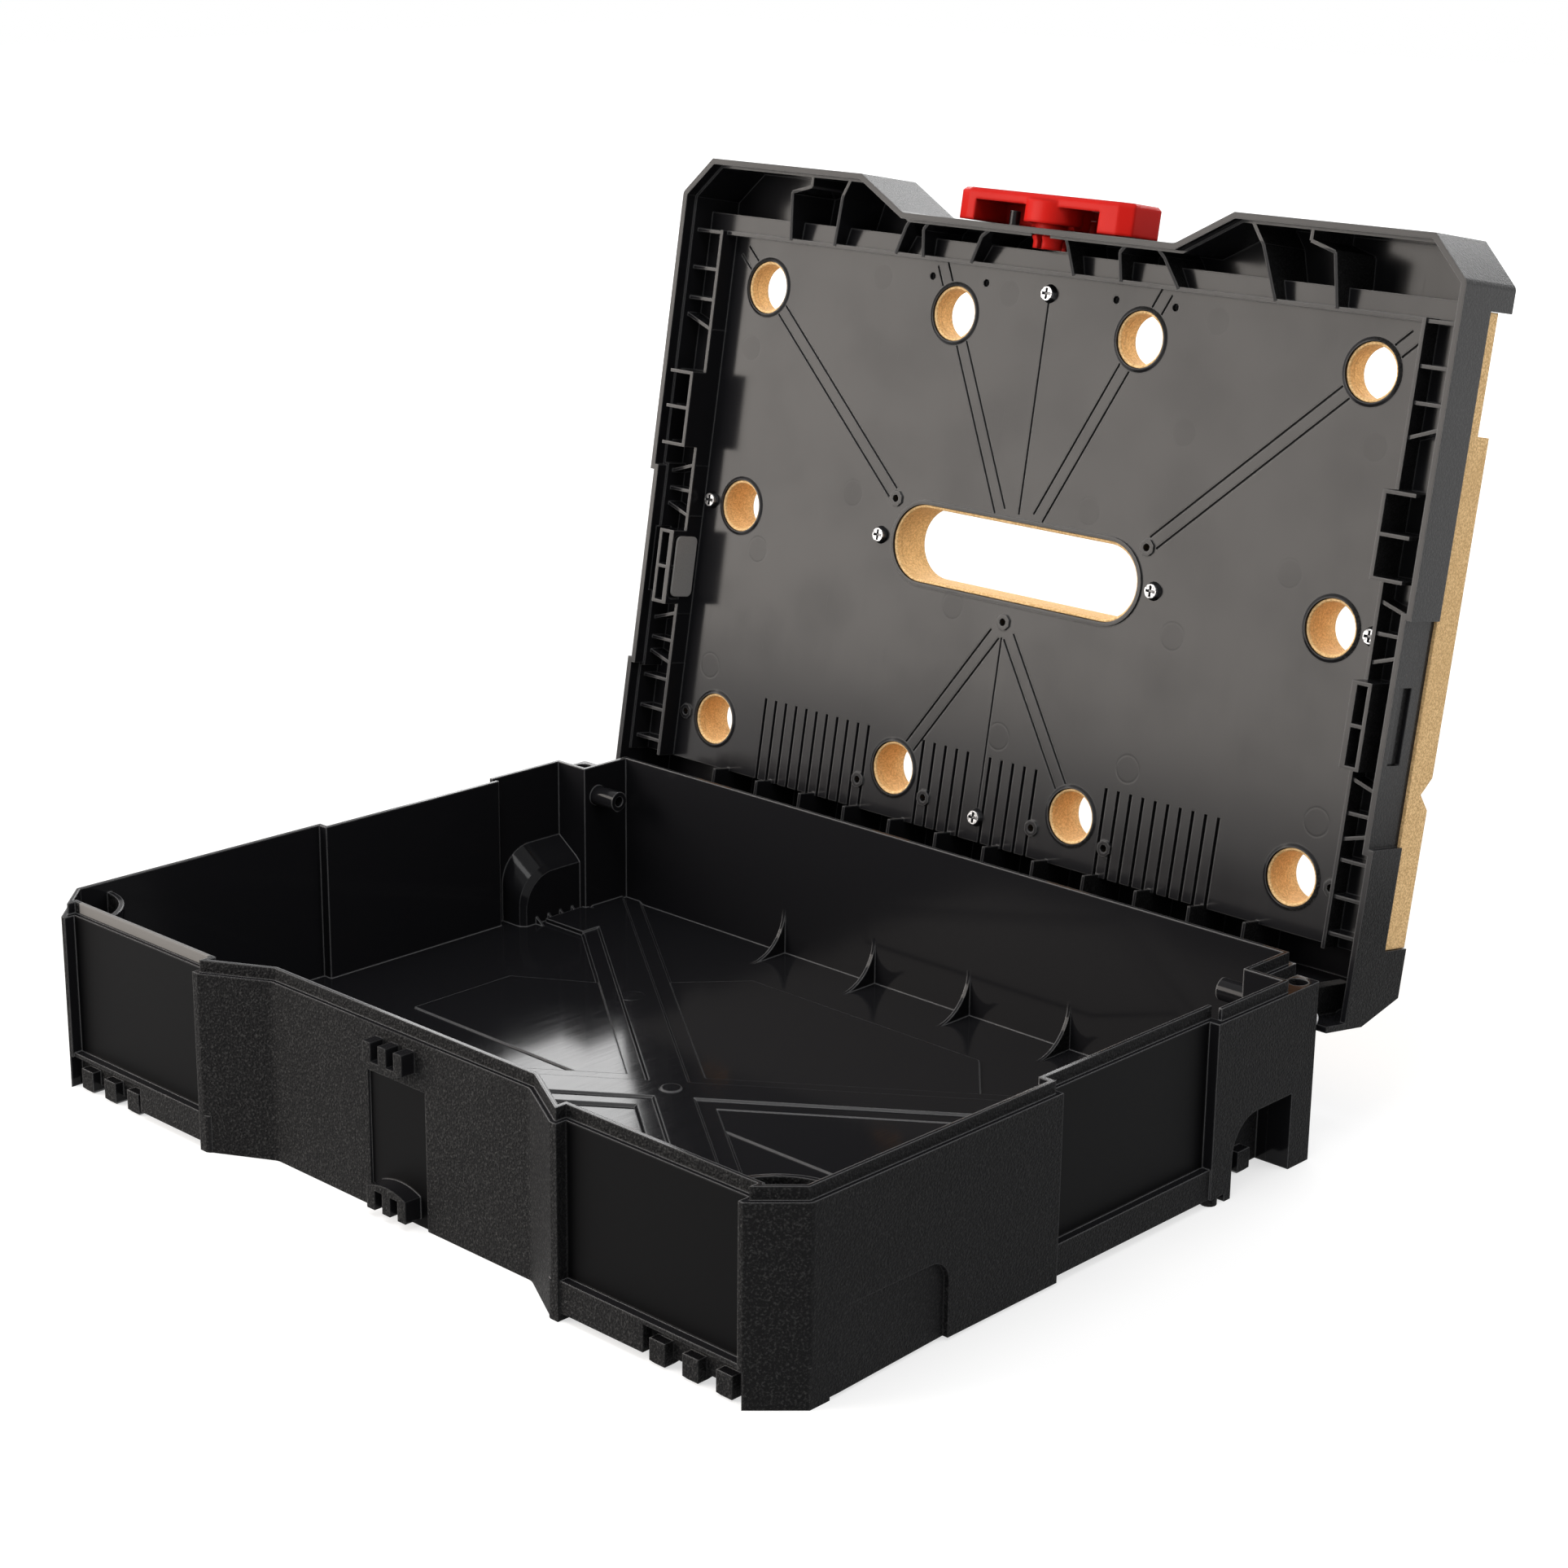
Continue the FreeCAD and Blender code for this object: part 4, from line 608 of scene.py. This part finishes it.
def black_lid():
    material, tree, shader = shell_material("black_lid", LID_SKIN)
    place, face = closed_lid(tree, object_vector(tree))
    outside = outward_mask(tree, place, face)
    sheen = lid_sheen(tree, place, face)
    marks = ejector_marks(tree, place, PANEL_MARKS, PANEL_MARK_Z)
    black_plastic(tree, shader, place, outside, 0.0, 0.0, 1.0, sheen, marks, LID_SKIN)
    return material


def cut_walls(tree, place, face):
    """Mask of the walls of the holes and of the hand slot in the board."""
    upright = ramp(tree, maths(tree, "ABSOLUTE", axes(tree, face)["Z"]), *CUT_RANGE, 1.0, 0.0)
    return maths(tree, "MULTIPLY", upright, inside_places(tree, place, (BOARD_MIDDLE,)))


def fibreboard():
    material, tree, shader = new_material("raw_fibreboard", Specular_IOR_Level=BOARD_MIRROR)
    place, face = closed_lid(tree, object_vector(tree))
    fibre = noise(tree, place, FIBRE_SIZE, detail=4.0, roughness=0.65)
    cloud = noise(tree, place, CLOUD_SIZE, detail=3.0)
    chips = noise(tree, place, CHIP_SIZE)
    light = ramp(tree, fibre, *FIBRE_RANGE)
    clouded = ramp(tree, cloud, *CLOUD_RANGE, 0.0, CLOUD_SHARE)
    chipped = ramp(tree, chips, *CHIP_RANGE, 0.0, CHIP_SHARE)
    colour = blend_colour(tree, clouded, blend_colour(tree, light, *BOARD_FACE), BOARD_CLOUD)
    # Cut walls lighter: partly paler cut fibre, partly painted light in the shaded bores and slot
    colour = blend_colour(tree, cut_walls(tree, place, face), colour, blend_colour(tree, light, *BOARD_CUT))
    colour = blend_colour(tree, chipped, colour, BOARD_CHIP)
    wire(tree, colour, shader.inputs["Base Color"])
    wire(tree, ramp(tree, fibre, *FIBRE_ROUGH_RANGE, *FIBRE_ROUGH), shader.inputs["Roughness"])
    finish_normal(tree, shader, fibre, FIBRE_DEPTH)
    return material


def red_latch():
    material, tree, shader = new_material("red_latch", Specular_IOR_Level=LATCH_MIRROR)
    place = object_vector(tree)
    smudge = use_group(tree, MARKS, Vector=place).outputs["Smudge"]
    wire(tree, blend_colour(tree, smudge, LATCH_RED, LATCH_RED_SMUDGED), shader.inputs["Base Color"])
    wire(tree, blend_value(tree, smudge, *LATCH_ROUGH), shader.inputs["Roughness"])
    finish_normal(tree, shader, noise(tree, place, LATCH_GRAIN_SIZE), LATCH_GRAIN_DEPTH, edge=LATCH_EDGE)
    return material


def painted_light_pad():
    material, tree, shader = new_material("painted_light_pad", Specular_IOR_Level=PAD_MIRROR)
    grain = noise(tree, object_vector(tree), PAD_GRAIN_SIZE)
    # Light grey painted on the pad: a painted reflection, as on the lid panel that its face lies parallel to
    wire(tree, blend_colour(tree, grain, *PAD_PAINTED_LIGHT), shader.inputs["Base Color"])
    wire(tree, ramp(tree, grain, *PAD_ROUGH_RANGE, *PAD_ROUGH), shader.inputs["Roughness"])
    finish_normal(tree, shader, grain, PAD_GRAIN_DEPTH, edge=PAD_EDGE)
    return material


def plated_steel(name, steel):
    """Steel with a fine spangle, and shade painted into the recess and under the rim of a screw head."""
    material, tree, shader = new_material(name, Metallic=1.0)
    place = closed_lid(tree, object_vector(tree))[0]
    spangle = noise(tree, place, SPANGLE_SIZE, detail=3.0)
    colour = blend_colour(tree, ramp(tree, spangle, *SPANGLE_RANGE), steel["bright"], steel["dark"])
    # Painted shade: darker with depth into the recess and under the rim of the head
    shaded = ramp(tree, axes(tree, place)["Z"], HEAD_TOP_Z, HEAD_TOP_Z + HEAD_RECESS, 0.0, RECESS_SHADE_SHARE)
    wire(tree, blend_colour(tree, shaded, colour, RECESS_SHADE), shader.inputs["Base Color"])
    rough = ramp(tree, spangle, *SPANGLE_ROUGH_RANGE, steel["rough"], steel["rough"] + SPANGLE_ROUGH)
    wire(tree, rough, shader.inputs["Roughness"])
    finish_normal(tree, shader, spangle, SPANGLE_DEPTH, edge=STEEL_EDGE)
    return material


def lid_piece(name, shape, material):
    """Piece drawn on the closed lid, swung open with it."""
    opening = Matrix.Translation(MIDDLE + HINGE) @ Matrix.Rotation(-CLOSING_ANGLE, 4, "X")
    bmesh.ops.transform(shape, matrix=opening @ Matrix.Translation(-HINGE), verts=shape.verts)
    bmesh.ops.recalc_face_normals(shape, faces=shape.faces)
    mesh = bpy.data.meshes.new(name)
    shape.to_mesh(mesh)
    shape.free()
    mesh.materials.append(material)
    piece = bpy.data.objects.new(name, mesh)
    bpy.context.scene.collection.objects.link(piece)
    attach(piece, "lid")


def side_plate(side, low, high, radius):
    """Thin plate across x with its four long corners rounded, on one side of the lid."""
    low, high = Vector(low), Vector(high)
    shape = bmesh.new()
    bmesh.ops.create_cube(shape, size=1.0)
    bmesh.ops.scale(shape, vec=high - low, verts=shape.verts)
    bmesh.ops.translate(shape, vec=(low + high) / 2, verts=shape.verts)
    corners = [edge for edge in shape.edges if edge.verts[0].co.x != edge.verts[1].co.x]
    bmesh.ops.bevel(shape, geom=corners, offset=radius, affect="EDGES", segments=ROUND_SEGMENTS, profile=0.5,
                    material=-1)
    bmesh.ops.scale(shape, vec=(side, 1.0, 1.0), verts=shape.verts)
    return shape


def side_plates(black):
    """Blind backs of the side windows and satin pads painted light grey as a painted reflection, on both sides of
    the lid.
    """
    # Pads painted light grey as a painted reflection
    satin = painted_light_pad()
    for name, side in (("left", -1.0), ("right", 1.0)):
        blind = side_plate(side, BLIND_LOW, BLIND_HIGH, BLIND_ROUND)
        lid_piece("window_blind_" + name, blind, black)
        pad = side_plate(side, PAD_LOW, PAD_HIGH, PAD_ROUND)
        lid_piece("side_pad_" + name, pad, satin)


def board_lip(radius, half, centre):
    """Ring of bare board that lines an opening; half moves its ends apart to line a slot."""
    shape = bmesh.new()
    profile = [shape.verts.new((radius + out, 0.0, level)) for out, level in LIP_PROFILE]
    edges = [shape.edges.new(ends) for ends in zip(profile, profile[1:] + profile[:1])]
    bmesh.ops.rotate(shape, matrix=Matrix.Rotation(math.pi / LIP_STEPS, 3, "Z"), verts=profile)
    bmesh.ops.spin(shape, geom=profile + edges, axis=(0.0, 0.0, 1.0), angle=math.tau, steps=LIP_STEPS,
                   use_merge=True)
    for side in (-1.0, 1.0):
        end = [vert for vert in shape.verts if vert.co.x * side > 0.0]
        bmesh.ops.translate(shape, vec=(side * half, 0.0, 0.0), verts=end)
    bmesh.ops.translate(shape, vec=(centre.x, centre.y, 0.0), verts=shape.verts)
    return shape


def board_lips(board):
    """Lips round the dog holes, at the places that the record gives, and round the hand slot."""
    closing = Matrix.Translation(HINGE) @ Matrix.Rotation(CLOSING_ANGLE, 4, "X")
    for mount in frame["record"]["mounts"]:
        if mount["name"].startswith("dog_hole"):
            centre = closing @ (Vector(mount["pos_m"]) - MIDDLE - HINGE)
            name = mount["name"].replace("dog_hole", "hole_lip")
            lid_piece(name, board_lip(DOG_R, 0.0, centre), board)
    lid_piece("hand_slot_lip", board_lip(SLOT_R, SLOT_HALF, Vector()), board)


def dress(node, material):
    """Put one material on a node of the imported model."""
    slots = frame["nodes"][node].data.materials
    slots.clear()
    slots.append(material)


def dress_nodes():
    """Finishes of all nodes, and the thin trim that shares them."""
    pin_steel = plated_steel("plain_steel", PIN_STEEL)
    finishes = {
        "base_shell": black_base(),
        "lid_shell": black_lid(),
        "worktop_board": fibreboard(),
        "turn_latch": red_latch(),
        "board_screws": plated_steel("bright_zinc", ZINC),
        "hinge_pin_left": pin_steel,
        "hinge_pin_right": pin_steel,
    }
    for node, material in finishes.items():
        dress(node, material)
    side_plates(finishes["lid_shell"])
    board_lips(finishes["worktop_board"])


def seen_ray(tree):
    """1 for camera, glossy and transmission rays, which all see the white surround."""
    path = add(tree, "ShaderNodeLightPath").outputs
    return most(tree, [path["Is Camera Ray"], path["Is Glossy Ray"], path["Is Transmission Ray"]])


def white_world():
    world = bpy.data.worlds.new("studio")
    bpy.context.scene.world = world
    world.use_nodes = True
    tree = world.node_tree
    background = tree.nodes["Background"]
    background.inputs["Color"].default_value = WHITE + (1.0,)
    wire(tree, blend_value(tree, seen_ray(tree), WORLD_LIGHT, 1.0), background.inputs["Strength"])


def pale_floor():
    """Floor that takes the shadow of the case and shows white away from it."""
    mesh = bpy.data.meshes.new("floor")
    shape = bmesh.new()
    bmesh.ops.create_grid(shape, x_segments=1, y_segments=1, size=FLOOR_SIZE)
    shape.to_mesh(mesh)
    shape.free()
    floor = bpy.data.objects.new("floor", mesh)
    bpy.context.scene.collection.objects.link(floor)
    material, tree, shader = new_material("pale_floor", Roughness=FLOOR_ROUGH, Specular_IOR_Level=0.0)
    shader.inputs["Base Color"].default_value = FLOOR_GREY + (1.0,)
    shader.inputs["Emission Color"].default_value = WHITE + (1.0,)
    place = add(tree, "ShaderNodeTexCoord").outputs["Object"]
    away = vector_maths(tree, "DISTANCE", place, (0.0, 0.0, 0.0))
    fill = ramp(tree, away, FLOOR_NEAR, FLOOR_FAR, FLOOR_WHITE, 1.0)
    wire(tree, maths(tree, "MULTIPLY", seen_ray(tree), fill), shader.inputs["Emission Strength"])
    mesh.materials.append(material)


def softbox(name, place, width, height, power, colour):
    """Rectangular lamp aimed at the case."""
    light = bpy.data.lights.new(name, "AREA")
    light.color = colour
    light.shape = "RECTANGLE"
    light.size = width
    light.size_y = height
    light.energy = power
    lamp = bpy.data.objects.new(name, light)
    lamp.location = place
    lamp.rotation_euler = (Vector(LIGHT_AIM) - Vector(place)).to_track_quat("-Z", "Y").to_euler()
    bpy.context.scene.collection.objects.link(lamp)


def studio():
    white_world()
    pale_floor()
    for settings in SOFTBOXES:
        softbox(*settings)


def camera():
    data = bpy.data.cameras.new("camera")
    data.sensor_width = SENSOR_MM
    data.lens = CAMERA_LENS_MM
    eye = bpy.data.objects.new("camera", data)
    eye.location = Vector(CAMERA_AT) + MIDDLE
    eye.rotation_euler = Euler([math.radians(angle) for angle in CAMERA_TURN_DEG], "XYZ")
    bpy.context.scene.collection.objects.link(eye)
    bpy.context.scene.camera = eye


dress_nodes()
studio()
camera()
bpy.context.scene.view_settings.view_transform = "Standard"
